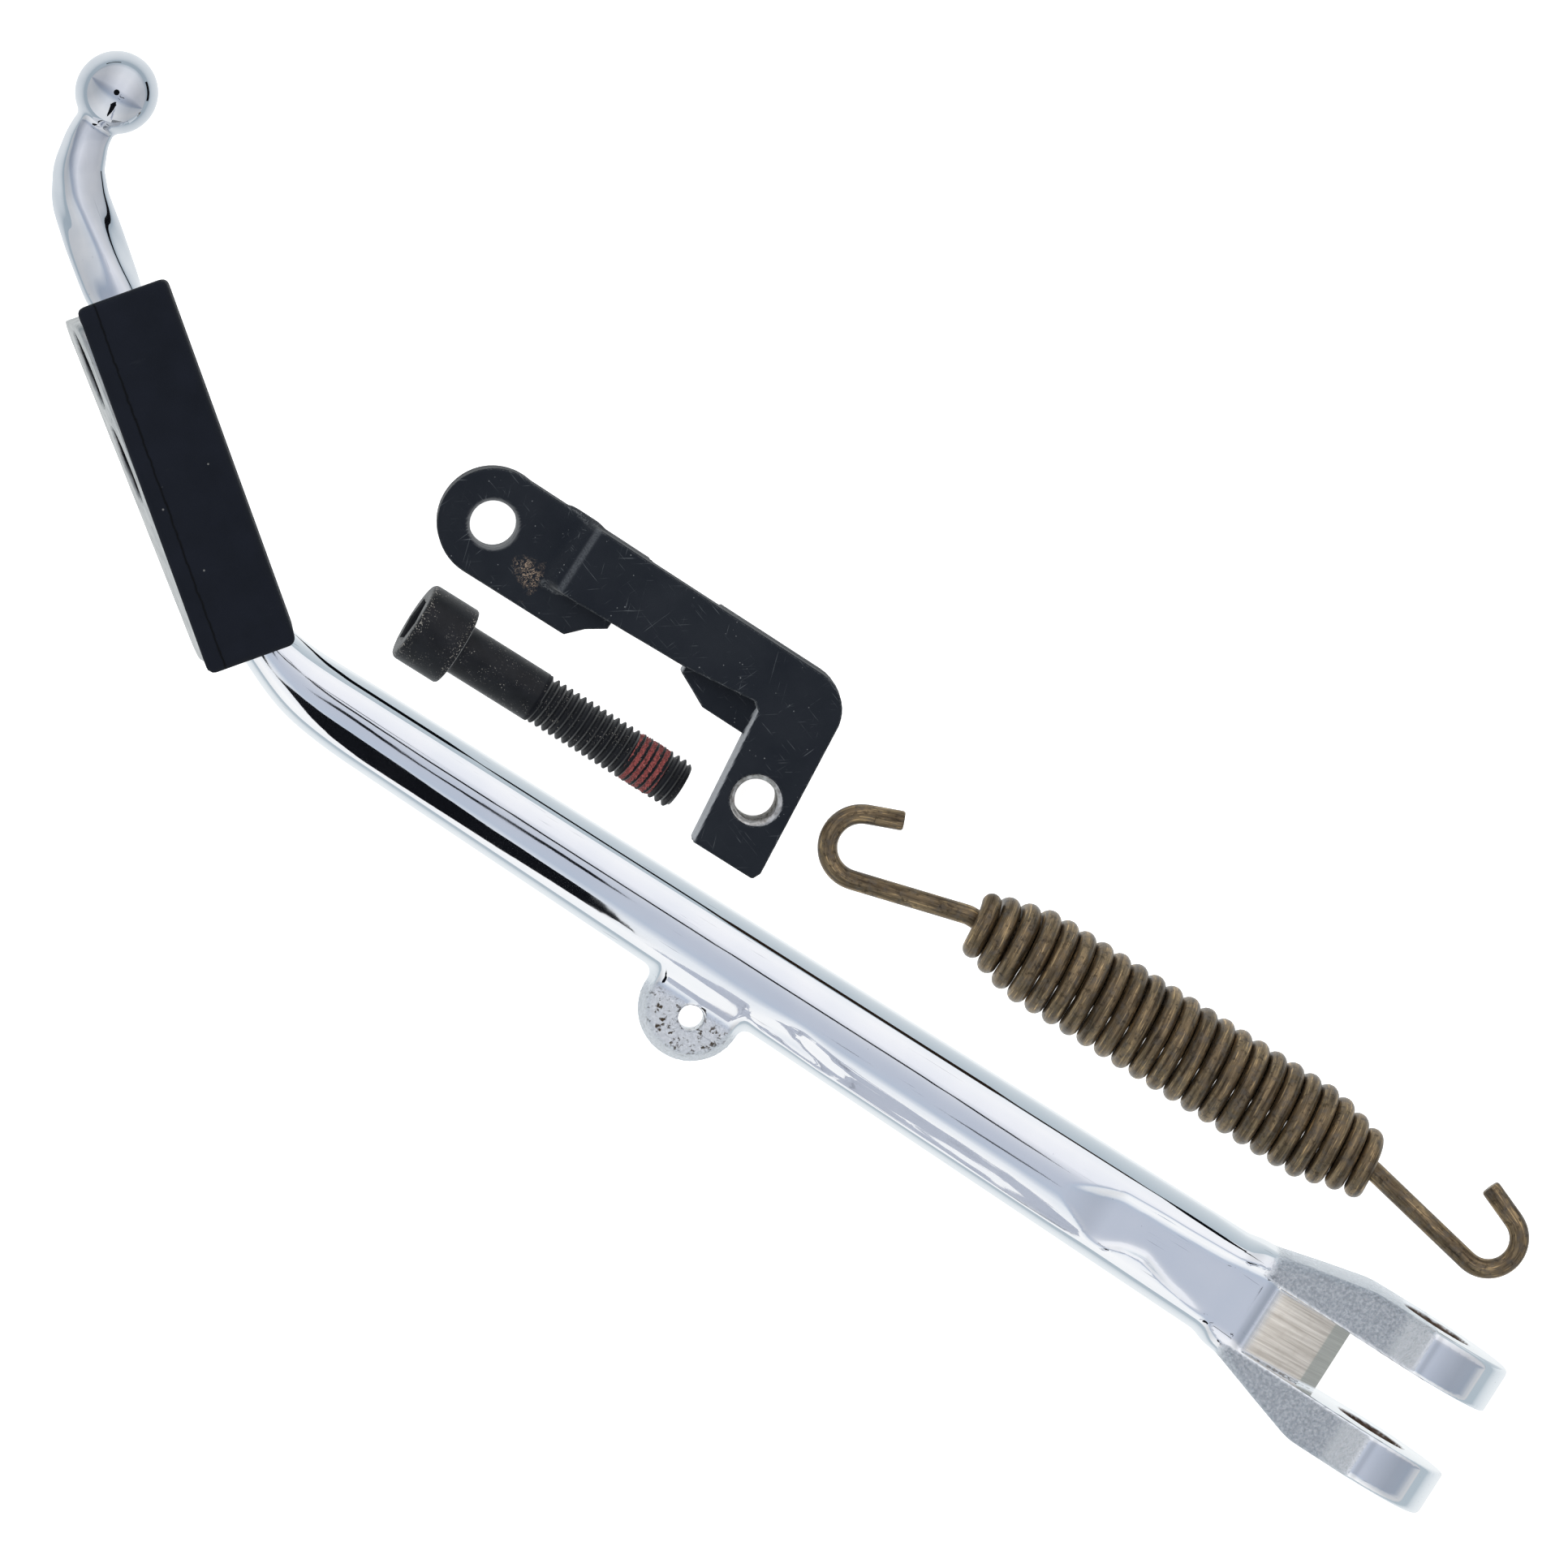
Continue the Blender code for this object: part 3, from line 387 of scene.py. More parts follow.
def curve(points, blur):
    """A function through the points (place, value), with its corners rounded over blur mm."""
    place, value = np.array(sorted(points), float).T
    fine = np.arange(place[0] - 2 * blur, place[-1] + 2 * blur, CURVE_STEP)
    half = max(round(blur / CURVE_STEP), 1)
    window = np.hanning(2 * half + 3)
    padded = np.pad(np.interp(fine, place, value), half + 1, mode="edge")
    smooth = np.convolve(padded, window / window.sum(), mode="valid")
    return lambda x: np.interp(x, fine, smooth)


class Line:
    """A smooth line in a plane that carries the half width and half depth of a section."""

    def __init__(self, stations, blur):
        table = np.array(stations, float)
        hops = np.hypot(*np.diff(table[:, :2], axis=0).T)
        chord = np.concatenate(([0.0], np.cumsum(hops)))
        self.x, self.y, self.half_width, self.half_depth = (
            curve(list(zip(chord, column)), blur) for column in table.T
        )
        self.t = np.arange(0.0, chord[-1], CURVE_STEP)
        along = np.gradient(self.x(self.t)), np.gradient(self.y(self.t))
        size = np.hypot(*along)
        self.along = along[0] / size, along[1] / size

    def near(self, x, y, rounds=6):
        """How far along the line each point is, and how far to its left."""
        t = np.interp(x, self.x(self.t), self.t) + 0.0 * y
        for _ in range(rounds):
            ax, ay = (np.interp(t, self.t, part) for part in self.along)
            t = t + (x - self.x(t)) * ax + (y - self.y(t)) * ay
            t = np.clip(t, self.t[0], self.t[-1])
        ax, ay = (np.interp(t, self.t, part) for part in self.along)
        dx, dy = x - self.x(t), y - self.y(t)
        side = dy * ax - dx * ay
        return t, np.copysign(np.hypot(dx, dy), side)


def section(u, z, half_width, half_depth, power):
    size = (np.abs(u / half_width) ** power + np.abs(z / half_depth) ** power) ** (1.0 / power)
    return (size - 1.0) * np.minimum(half_width, half_depth)


def outline_distance(x, y, points):
    """Signed distance to a closed outline, negative inside."""
    nearest = np.inf
    inside = np.zeros(np.broadcast(x, y).shape, bool)
    for (ax, ay), (bx, by) in zip(points, points[1:] + points[:1]):
        ex, ey = bx - ax, by - ay
        share = np.clip(((x - ax) * ex + (y - ay) * ey) / (ex * ex + ey * ey), 0.0, 1.0)
        nearest = np.minimum(nearest, np.hypot(x - ax - share * ex, y - ay - share * ey))
        if ey:
            crosses = ((ay > y) != (by > y)) & (x < ax + ex * (y - ay) / ey)
            inside ^= crosses
    return np.where(inside, -nearest, nearest)


def slab(flat, z, low, high, edge):
    """A flat shape given the thickness from low to high, with rounded edges."""
    a = flat + edge
    b = np.abs(z - (low + high) / 2) - (high - low) / 2 + edge
    outside = np.hypot(np.maximum(a, 0.0), np.maximum(b, 0.0))
    return outside + np.minimum(np.maximum(a, b), 0.0) - edge


def rounded_box(x, y, z, size, edge):
    far = [np.abs(place) - length / 2 + edge for place, length in zip((x, y, z), size)]
    outside = np.sqrt(sum(np.maximum(part, 0.0) ** 2 for part in far))
    return outside + np.minimum(np.maximum(np.maximum(far[0], far[1]), far[2]), 0.0) - edge


def ruler(*marks):
    """Grid coordinates from marks (place, spacing up to the next mark); the last is the end."""
    parts = []
    for (start, step), (end, _) in zip(marks, marks[1:]):
        count = math.ceil((end - start) / step)
        parts.append(np.linspace(start, end, count, endpoint=False))
    return np.append(np.concatenate(parts), marks[-1][0])


def centred_grid(size, margin, steps):
    halves = [length / 2 + margin for length in size]
    return [[(-half, step), (half, 0)] for half, step in zip(halves, steps)]


def field_slope(field, points, reach=0.02):
    slope = np.empty_like(points)
    for k in range(3):
        ahead, behind = points.copy(), points.copy()
        ahead[:, k] += reach
        behind[:, k] -= reach
        slope[:, k] = (field(*ahead.T) - field(*behind.T)) / (2 * reach)
    return slope


def settle(field, points, rounds=3, limit=0.4):
    """The points moved along the field's slope until they lie on its surface."""
    for _ in range(rounds):
        slope = field_slope(field, points)
        move = slope * (field(*points.T) / np.maximum((slope ** 2).sum(1), 0.05))[:, None]
        length = np.linalg.norm(move, axis=1, keepdims=True)
        points = points - move * np.minimum(1.0, limit / np.maximum(length, 1e-9))
    return points


def surface_net(field, axes):
    """Points and four-sided faces of the surface where the field is zero, on a grid."""
    xs, ys, zs = axes
    values = field(xs[:, None, None], ys[None, :, None], zs[None, None, :])
    shape = values.shape
    cells, crossings = [], []
    for axis in range(3):
        ahead = [slice(None)] * 3
        behind = [slice(None)] * 3
        ahead[axis] = slice(1, None)
        behind[axis] = slice(None, -1)
        first, second = values[tuple(behind)], values[tuple(ahead)]
        index = np.argwhere((first < 0) != (second < 0))
        a, b = first[tuple(index.T)], second[tuple(index.T)]
        place = np.stack([line[i] for line, i in zip(axes, index.T)], axis=1)
        step = axes[axis][index[:, axis] + 1] - axes[axis][index[:, axis]]
        place[:, axis] += step * a / (a - b)
        one, two = (axis + 1) % 3, (axis + 2) % 3
        around = []
        for back_one, back_two in ((0, 0), (1, 0), (1, 1), (0, 1)):
            cell = index.copy()
            cell[:, one] -= back_one
            cell[:, two] -= back_two
            around.append(np.ravel_multi_index(tuple(cell.T), shape))
        quads = np.stack(around, axis=1)
        quads[a >= 0] = quads[a >= 0][:, ::-1]
        cells.append(quads)
        crossings.append(place)
    cells, crossings = np.concatenate(cells), np.concatenate(crossings)
    _, faces = np.unique(cells, return_inverse=True)
    faces = faces.reshape(cells.shape)
    share = np.bincount(faces.ravel())
    spread = np.repeat(crossings, 4, axis=0)
    points = np.stack([np.bincount(faces.ravel(), spread[:, k]) / share for k in range(3)], axis=1)
    return points, faces


def add_vectors(mesh, name, values):
    attribute = mesh.attributes.new(name, "FLOAT_VECTOR", "POINT")
    attribute.data.foreach_set("vector", values.astype(np.float32).ravel())


def add_mesh(name, points, faces, place, material):
    """A mesh from points in mm in a frame of their own. The material reads them as "place"."""
    points = np.asarray(points, float)
    turn, shift = np.array(place.to_3x3()), np.array(place.translation)
    mesh = bpy.data.meshes.new(name)
    mesh.from_pydata((points * MM @ turn.T + shift).tolist(), [], [list(map(int, face)) for face in faces])
    add_vectors(mesh, "place", points)
    mesh.shade_smooth()
    mesh.materials.append(material)
    piece = bpy.data.objects.new(name, mesh)
    bpy.context.scene.collection.objects.link(piece)
    return piece


def enlist(piece, body, node):
    """The piece rides a body and stands for a CAD node, whose part is hidden."""
    if body:
        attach(piece, body)
    if node:
        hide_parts(node)


def add_piece(name, points, faces, place, body, node, material):
    piece = add_mesh(name, points, faces, place, material)
    enlist(piece, body, node)
    return piece


def add_mask(piece, name, values):
    """A value for each point that the material reads."""
    attribute = piece.data.attributes.new(name, "FLOAT", "POINT")
    attribute.data.foreach_set("value", np.asarray(values, np.float32))


def add_skin(name, field, grid, place, body, node, material):
    """A piece skinned from its distance field, and the skin's points."""
    points, faces = surface_net(field, [ruler(*marks) for marks in grid])
    points = settle(field, points)
    piece = add_piece(name, points, faces, place, body, node, material)
    return piece, points


def arc(centre, radius, start, end, steps):
    angles = np.radians(np.linspace(start, end, steps + 1))
    return [(centre[0] + radius * math.cos(a), centre[1] + radius * math.sin(a)) for a in angles]


def skin_rings(rings, closed=False):
    """Points and faces that join rings of points: capped at both ends, or closed on themselves."""
    count, size = len(rings), len(rings[0])
    points = np.concatenate(rings)
    rows = np.arange(count if closed else count - 1)
    k = np.arange(size)
    low = (rows[:, None] * size + k[None, :]).ravel()
    low_next = (rows[:, None] * size + (k[None, :] + 1) % size).ravel()
    high = (((rows[:, None] + 1) % count) * size + k[None, :]).ravel()
    high_next = (((rows[:, None] + 1) % count) * size + (k[None, :] + 1) % size).ravel()
    faces = np.stack([low, low_next, high_next, high], axis=1).tolist()
    if not closed:
        faces.append(list(range(size))[::-1])
        faces.append([(count - 1) * size + i for i in range(size)])
    return points, faces


def ring(radius, height, segments=TURN_SEGMENTS):
    """A level ring about Z. The radius is a number, one for each point, or a function of the angle."""
    angle = np.linspace(0.0, 2 * math.pi, segments, endpoint=False)
    size = radius(angle) if callable(radius) else np.full(segments, radius)
    return np.stack([size * np.cos(angle), size * np.sin(angle), np.full(segments, height)], axis=1)


# ------------------------------------------------ frames from the record

def joint(name):
    return next(entry for entry in frame["joints"] if entry["name"] == name)


def mount_place(name):
    mount = next(entry for entry in frame["record"]["mounts"] if entry["name"] == name)
    return Vector(mount["pos_m"])


def frame_matrix(origin, x, y, z):
    matrix = Matrix((x, y, z)).transposed().to_4x4()
    matrix.translation = origin
    return matrix


def leg_matrix():
    swing = joint("leg_swing")
    y = Vector(swing["axis"]).normalized()
    return frame_matrix(swing["pos_m"], y.cross(UP), y, UP)


def spring_matrix():
    swivel = joint("hook_swivel")
    x = Vector(swivel["axis"]).normalized()
    return frame_matrix(swivel["pos_m"], x, UP.cross(x), UP)


def screw_matrix():
    turn = joint("screw_turn")
    z = Vector(turn["axis"]).normalized()
    x = (UP - z * UP.dot(z)).normalized()
    return frame_matrix(turn["pos_m"], x, z.cross(x), z)


def bracket_matrix():
    seat, arm = mount_place("bracket_seat"), mount_place("bracket_arm_face")
    local = math.atan2(ARM_POINT[1] - SEAT_POINT[1], ARM_POINT[0] - SEAT_POINT[0])
    heading = math.atan2(arm.y - seat.y, arm.x - seat.x) - local
    turn = Matrix.Rotation(heading, 4, "Z")
    origin = seat - turn.to_3x3() @ Vector((*SEAT_POINT, 0.0)) * MM
    return Matrix.Translation(origin) @ turn


LEG = leg_matrix()
PAD = LEG @ Matrix.Translation(Vector((*PAD_CENTRE, 0.0)) * MM) @ Matrix.Rotation(PAD_HEADING, 4, "Z")
PLATE = (
    PAD
    @ Matrix.Translation(Vector((PLATE_SHIFT, PLATE_BACK, 0.0)) * MM)
    @ Matrix.Rotation(math.radians(90), 4, "X")
)
BRACKET = bracket_matrix()
SCREW = screw_matrix()
SPRING = spring_matrix()


def pad_to_leg(x, y):
    c, s = math.cos(PAD_HEADING), math.sin(PAD_HEADING)
    return PAD_CENTRE[0] + c * x - s * y, PAD_CENTRE[1] + s * x + c * y


def leg_to_pad(x, y):
    c, s = math.cos(PAD_HEADING), math.sin(PAD_HEADING)
    dx, dy = x - PAD_CENTRE[0], y - PAD_CENTRE[1]
    return c * dx + s * dy, c * dy - s * dx


# ------------------------------------------------ leg

FOOT_IN_LEG = [(*pad_to_leg(x, y), width, depth) for x, y, width, depth in ARM_STATIONS[-2:] + FOOT_STATIONS]
BAR_LINE = Line(FOOT_IN_LEG + BAR_STATIONS, 9.0)
ARM_LINE = Line(ARM_STATIONS + FOOT_STATIONS, 3.0)
EAR_TOP = curve(EAR_HIGH, 3.0)
EAR_BOTTOM = curve(EAR_LOW, 3.0)
EAR_ROUNDING = curve(EAR_CORNERS, 3.0)
VALLEY_LINE = curve(VALLEY_Y, 4.0)
VALLEY_CUT = curve(VALLEY_DEPTH, 3.0)
SPOON_TOP = curve(SPOON_HIGH, 1.5)
SPOON_BOTTOM = curve(SPOON_LOW, 1.2)
SPOON_BED = curve(SPOON_FLOOR, 3.0)
TWIST = curve(ARM_TWIST, 5.0)


def bar_field(x, y, z):
    t, u = BAR_LINE.near(x, y)
    body = section(u, z, BAR_LINE.half_width(t), BAR_LINE.half_depth(t), BAR_POWER)
    body = body + VALLEY_CUT(x) * np.exp(-(((y - VALLEY_LINE(x)) / VALLEY_HALF_WIDTH) ** 2))
    return np.maximum(body, x - BAR_STOP)


def clevis_field(x, y, z):
    """Two flat sides that touch the round eye and narrow towards the root."""
    lean = math.atan2(ROOT_HALF_DEPTH, ROOT_X) - math.acos(EYE_RADIUS / math.hypot(ROOT_X, ROOT_HALF_DEPTH))
    rise = np.abs(z)
    past_tangent = x * math.sin(lean) - rise * math.cos(lean) > 0
    slope = x * math.cos(lean) + rise * math.sin(lean) - EYE_RADIUS
    side = np.where(past_tangent, np.hypot(x, z) - EYE_RADIUS, slope)
    side = side + EAR_STEP * rising(x, EAR_STEP_X, EAR_STEP_RUN)
    plan = np.maximum(y - EAR_TOP(x), EAR_BOTTOM(x) - y)
    solid = smooth_max(side, plan, EAR_ROUNDING(x))
    return smooth_max(solid, ROOT_X - x, ROOT_EDGE)


def slot_void(x, y, z):
    """Positive where the clevis slot is open."""
    faces = [
        (x - SLOT_KNEE[0]) * math.cos(tilt) + (z - SLOT_KNEE[1]) * math.sin(tilt)
        for tilt in SLOT_SLOPES
    ]
    floor = np.maximum(np.maximum(faces[0], faces[1]), x - SLOT_FLOOR_X)
    return np.minimum(SLOT_HALF - np.abs(y), floor)


def spoon_void(x, y, z):
    """Positive above the spoon's floor, whose walls rise outside its two borders."""
    outside = soft_plus(y - SPOON_TOP(x), SPOON_SOFTNESS) + soft_plus(SPOON_BOTTOM(x) - y, SPOON_SOFTNESS)
    return z - SPOON_BED(x) - SPOON_WALL * outside


def lug_field(x, y, z):
    middle, half = (LUG_LOW + LUG_HIGH) / 2, (LUG_HIGH - LUG_LOW) / 2
    radius = LUG_RADIUS - LUG_DRAFT * np.abs(z - middle)
    dx, dy = x - LUG_CENTRE[0], y - LUG_CENTRE[1]
    tab = np.where(dy > 0, np.abs(dx), np.hypot(dx, dy)) - radius
    solid = smooth_max(tab, np.abs(z - middle) - half, LUG_EDGE)
    return np.maximum(solid, y - LUG_ROOT_Y)


def leg_field(x, y, z):
    solid = smooth_min(bar_field(x, y, z), clevis_field(x, y, z), CLEVIS_FILLET)
    solid = smooth_min(solid, lug_field(x, y, z), LUG_FILLET)
    solid = smooth_max(solid, spoon_void(x, y, z), SPOON_LIP)
    solid = smooth_max(solid, slot_void(x, y, z), HOLE_EDGE)
    solid = smooth_max(solid, BORE_RADIUS - np.hypot(x, z), BORE_EDGE)
    hole = LUG_HOLE_RADIUS - np.hypot(x - LUG_HOLE[0], y - LUG_HOLE[1])
    solid = smooth_max(solid, hole, HOLE_EDGE)
    return np.maximum(solid, JOIN_X - leg_to_pad(x, y)[0])


def core_field(x, y, z):
    """The toe arm and foot core. Their section turns over, and keeps its width seen from above."""
    t, u = ARM_LINE.near(x, y)
    turn = np.radians(TWIST(x + 0.0 * y))
    across = u * np.cos(turn) + z * np.sin(turn)
    rise = z * np.cos(turn) - u * np.sin(turn)
    width, depth = ARM_LINE.half_width(t) - ARM_INSET, ARM_LINE.half_depth(t) - ARM_INSET
    power = ARM_POWER / (ARM_POWER - 1.0)
    reach = (width * np.abs(np.cos(turn))) ** power + (depth * np.abs(np.sin(turn))) ** power
    reach = reach ** (1.0 / power)
    return section(across, rise, width * width / reach, depth * width / reach, ARM_POWER)


def arm_field(x, y, z):
    ball = np.sqrt((x - BALL_CENTRE[0]) ** 2 + (y - BALL_CENTRE[1]) ** 2 + z ** 2) - BALL_RADIUS
    arm = np.maximum(core_field(x, y, z), y - BALL_CENTRE[1])
    solid = smooth_min(arm, ball, BALL_NECK)
    return np.maximum(solid, x - JOIN_X)


def build_bar(chrome):
    bar, points = add_skin("leg_bar", leg_field, BAR_GRID, LEG, "leg", "leg", chrome)
    x, y, z = points.T
    on_floor = falling(np.abs(y), SLOT_HALF - 0.3, 0.3)
    add_mask(bar, "machined", on_floor * rising(x, MACHINED[0], 3.0) * (x < MACHINED[1]))
    # painted shade: the slot's second face is coloured darker and greenish
    add_mask(bar, "shaded_second_face", rising(x, SLOT_KNEE[0] + 0.1, 0.4))
    ears = rising(x, CAST_START, 2.5) * falling(x, EAR_STEP_X, 1.5)
    ears = ears * rising(np.abs(y), SLOT_HALF + 0.2, 0.4)
    face = falling(y, LUG_CENTRE[1] + 1.5, 3.0) * (np.abs(x - LUG_CENTRE[0]) < LUG_RADIUS + 1.8)
    from_centre = np.hypot(x - LUG_CENTRE[0], y - LUG_CENTRE[1])
    add_mask(bar, "cast", np.maximum(ears, LUG_CASTING * face))
    add_mask(bar, "lug", face * falling(from_centre, LUG_RADIUS - 0.7, 2.0))
    # facet mask: painted highlight, near white, on the ears just before the ground ear end
    add_mask(bar, "facet", ears * rising(x, EAR_STEP_X - HIGHLIGHT_FACET_LENGTH, 3.0))
    add_mask(bar, "bore", falling(np.hypot(x, z), BORE_RADIUS + 0.25, 0.2))


def build_toe_arm(chrome):
    add_skin("leg_toe_arm", arm_field, ARM_GRID, PAD, "leg", "leg", chrome)


# ------------------------------------------------ pad and wear plate

def pad_field(x, y, z):
    solid = rounded_box(x, y, z, PAD_SIZE, PAD_EDGE)
    end = (-x - PAD_SIZE[0] / 2) * math.cos(PAD_DRAFT) - (z - PAD_SIZE[2] / 2 + 1.0) * math.sin(PAD_DRAFT)
    solid = smooth_max(solid, end, PAD_END_EDGE)
    rise = np.abs(z) - PAD_SIZE[2] / 2
    facet = rise * math.cos(CREASE_TILT) - (y - CREASE_Y) * math.sin(CREASE_TILT)
    solid = smooth_max(solid, facet, 0.2)
    beside = np.maximum(np.abs(x - PLATE_SHIFT) - PLATE_SIZE[0] / 2, np.abs(z) - PLATE_SIZE[1] / 2)
    recess = np.maximum(beside, y - PLATE_BACK) - CORE_GAP
    solid = smooth_max(solid, -recess, 0.3)
    return smooth_max(solid, CORE_GAP - core_field(x, y, z), 0.3)


def build_pad(rubber):
    grid = centred_grid(PAD_SIZE, 1.0, PAD_STEPS)
    pad, _ = add_skin("foot_pad", pad_field, grid, PAD, "leg", "rubber_pad", rubber)
    pad.visible_glossy = False


def window_size(x, y):
    """How far each point is from the nearer window's middle: 1 on the window's edge."""
    sizes = [np.hypot((x - middle) / WINDOW_RADII[0], y / WINDOW_RADII[1]) for middle in WINDOW_MIDDLES]
    return np.minimum(*sizes)


def plate_face(x, y):
    return PLATE_THICKNESS - PLATE_TAPER * x - PLATE_LEAN * y


def plate_field(x, y, z):
    far = [np.abs(place) - length / 2 + PLATE_CORNER for place, length in zip((x, y), PLATE_SIZE)]
    flat = np.hypot(np.maximum(far[0], 0.0), np.maximum(far[1], 0.0))
    flat = flat + np.minimum(np.maximum(far[0], far[1]), 0.0) - PLATE_CORNER
    flat = smooth_max(flat, (1.0 - window_size(x, y)) * WINDOW_RADII[1], PLATE_EDGE)
    return smooth_max(flat, smooth_max(z - plate_face(x, y), -z, PLATE_EDGE), 2 * PLATE_EDGE)


def build_wear_plate(steel):
    name, node, slot = "foot_wear_plate", "wear_plate", "bright_steel"
    grid = centred_grid(PLATE_SIZE, 0.6, (0.5, 0.5)) + [[(-0.6, 0.3), (5.4, 0)]]
    plate, points = add_skin(name, plate_field, grid, PLATE, "leg", node, steel)
    x, y, z = points.T
    # window mask: painted shade, the walls of the plate's windows are made near black
    inside = falling(window_size(x, y), 1.15, 0.1)
    add_mask(plate, "window", inside * falling(z, plate_face(x, y) - 0.3, 0.3))


# ------------------------------------------------ bracket

def bracket_field(x, y, z):
    right = arc(CORNER_CENTRE, CORNER_RADIUS, 90, 0, 10) + SHORT_LEG_END
    arm = outline_distance(x, y, [ARM_CORNER] + right + ARM_LOWER_EDGE)
    eye = outline_distance(x, y, arc((0.0, 0.0), EYE_OUTER_RADIUS, 80, 270, 36) + EYE_FLAP)
    foot = outline_distance(x, y, right + FOOT_FLAP)
    arm = slab(arm, z, BRACKET_HIGH - BRACKET_PLATE, BRACKET_HIGH, BRACKET_EDGE)
    ramp = (z - RAMP_FOOT[1]) * math.cos(RAMP_TILT) - (x - RAMP_FOOT[0]) * math.sin(RAMP_TILT)
    arm = smooth_max(arm, ramp, RAMP_ROUNDING)
    eye = slab(eye, z, 0.0, BRACKET_PLATE, BRACKET_EDGE)
    foot = slab(foot, z, 0.0, BRACKET_PLATE, BRACKET_EDGE)
    fillet = JOIN_FILLET + BEND_FILLET * falling(x, BEND_END, 4.0)
    solid = smooth_min(smooth_min(arm, eye, fillet), foot, JOIN_FILLET)
    solid = smooth_max(solid, PLAIN_HOLE_RADIUS - np.hypot(x, y), BORE_EDGE)
    tapped = TAPPED_HOLE_RADIUS - np.hypot(x - TAPPED_HOLE[0], y - TAPPED_HOLE[1])
    return smooth_max(solid, tapped, BORE_EDGE)


def build_bracket(steel):
    name, node, slot = "frame_bracket", "bracket", "black_steel"
    piece, points = add_skin(name, bracket_field, BRACKET_GRID, BRACKET, "kit_base", node, steel)
    piece.visible_glossy = False
    x, y, z = points.T
    slope = field_slope(bracket_field, points)
    out_x, out_y, out_z = (slope / np.linalg.norm(slope, axis=1, keepdims=True)).T
    on_ramp = np.abs(out_z * math.cos(RAMP_TILT) - out_x * math.sin(RAMP_TILT))
    flat = np.maximum(np.maximum(on_ramp, np.hypot(out_x, out_y)), np.abs(out_z))
    add_mask(piece, "edge", 1.0 - flat)
    ramp_top = RAMP_FOOT[0] + (BRACKET_HIGH - RAMP_FOOT[1]) / math.tan(RAMP_TILT)
    add_mask(piece, "ramp_edge", falling(np.abs(x - ramp_top), 0.9, 0.7) * (z > BRACKET_HIGH - 2.0))
    # painted light: the short leg's face towards the hole is made lighter grey
    on_short_leg = (x > ARM_POINT[0]) * (y < ARM_LOWER_EDGE[1][1] - 0.1)
    add_mask(piece, "painted_light_side", rising(-out_x, 0.55, 0.3) * on_short_leg)
    add_mask(piece, "hole_lip", falling(np.hypot(x, y), PLAIN_HOLE_RADIUS + 0.7, 0.5))


def build_bracket_thread(bare):
    """The tapped hole's thread, as a sleeve whose back is sunk in the bracket."""
    heights = np.arange(-BRACKET_HIGH + 0.4, -0.4, THREAD_STEP)
    back = TAPPED_HOLE_RADIUS + 0.6
    rings = [ring(back, heights[-1]), ring(back, heights[0])]
    rings += [ring(lambda angle, h=height: thread_radius(-h, angle) - 0.05, height) for height in heights]
    points, faces = skin_rings(rings, closed=True)
    place = BRACKET @ Matrix.Translation(Vector((*TAPPED_HOLE, BRACKET_HIGH)) * MM)
    add_piece("bracket_thread", points, faces, place, "kit_base", None, bare)


# ------------------------------------------------ screw and patch

def thread_radius(depth, angle):
    """Radius of the thread at a depth below the head: grooves at whole turns, crests between."""
    phase = ((depth - THREAD_START) / PITCH - angle / (2 * math.pi)) % 1.0
    rise = (1.0 - np.abs(2.0 * phase - 1.0) - FLANK_START) / FLANK_RUN
    flank = (1.0 - FLANK_ROUNDNESS) * np.clip(rise, 0.0, 1.0) + FLANK_ROUNDNESS * smooth_step(rise)
    return ROOT_RADIUS + (CREST_RADIUS - ROOT_RADIUS) * flank


def screw_radius(depth, angle):
    """The thread where it has run in, the plain shank above it, and the chamfer at the tip."""
    run_in = rising(depth - 0.7 * angle / (2 * math.pi), THREAD_START + 0.3, 1.0)
    radius = SHANK_RADIUS + (thread_radius(depth, angle) - SHANK_RADIUS) * run_in
    chamfer = TIP_RADIUS + (SCREW_LENGTH - depth)
    return np.minimum(radius, chamfer)


def cut_socket(screw, material):
    """The hex socket: a six-sided tool with a pointed floor and a chamfered mouth, taken away."""
    corner = SOCKET_ACROSS_FLATS / math.sqrt(3)
    floor = HEAD_HEIGHT - SOCKET_DEPTH
    profile = [(0.3, floor - SOCKET_CONE), (corner, floor), (corner, HEAD_HEIGHT - 0.5)]
    profile += [(corner, HEAD_HEIGHT - 0.45), (corner + 0.8, HEAD_HEIGHT + 0.35)]
    points, faces = skin_rings([ring(radius, height, 6) for radius, height in profile])
    tool = add_mesh("socket_tool", points, faces, SCREW, material)
    cut = screw.modifiers.new("socket", "BOOLEAN")
    cut.operation = "DIFFERENCE"
    cut.object = tool
    bpy.context.view_layer.update()
    solid = bpy.data.meshes.new_from_object(screw.evaluated_get(bpy.context.evaluated_depsgraph_get()))
    screw.modifiers.clear()
    screw.data = solid
    solid.set_sharp_from_angle(angle=SHARP_ANGLE)
    bpy.data.objects.remove(tool, do_unlink=True)


def build_screw(oxide):
    rings = [ring(0.35, -SCREW_LENGTH), ring(TIP_RADIUS - 0.1, -SCREW_LENGTH)]
    depths = np.arange(SCREW_LENGTH, THREAD_START - 0.4, -THREAD_STEP)
    rings += [ring(lambda angle, d=depth: screw_radius(d, angle), -depth) for depth in depths]
    rings += [ring(radius, height) for radius, height in HEAD_PROFILE]
    points, faces = skin_rings(rings)
    screw = add_mesh("cap_screw_body", points, faces, SCREW, oxide)
    x, y, z = points.T
    from_edge = np.minimum(np.abs(z - 0.3), np.abs(z - HEAD_HEIGHT + 0.3))
    at_rim = rising(np.hypot(x, y), HEAD_RADIUS - 1.2, 0.5)
    add_mask(screw, "rim", at_rim * falling(from_edge, 0.9, 0.4))
    add_mask(screw, "thread", rising(-z, THREAD_START, 0.5))
    cut_socket(screw, oxide)
    screw.visible_glossy = False
    enlist(screw, "cap_screw", "cap_screw")


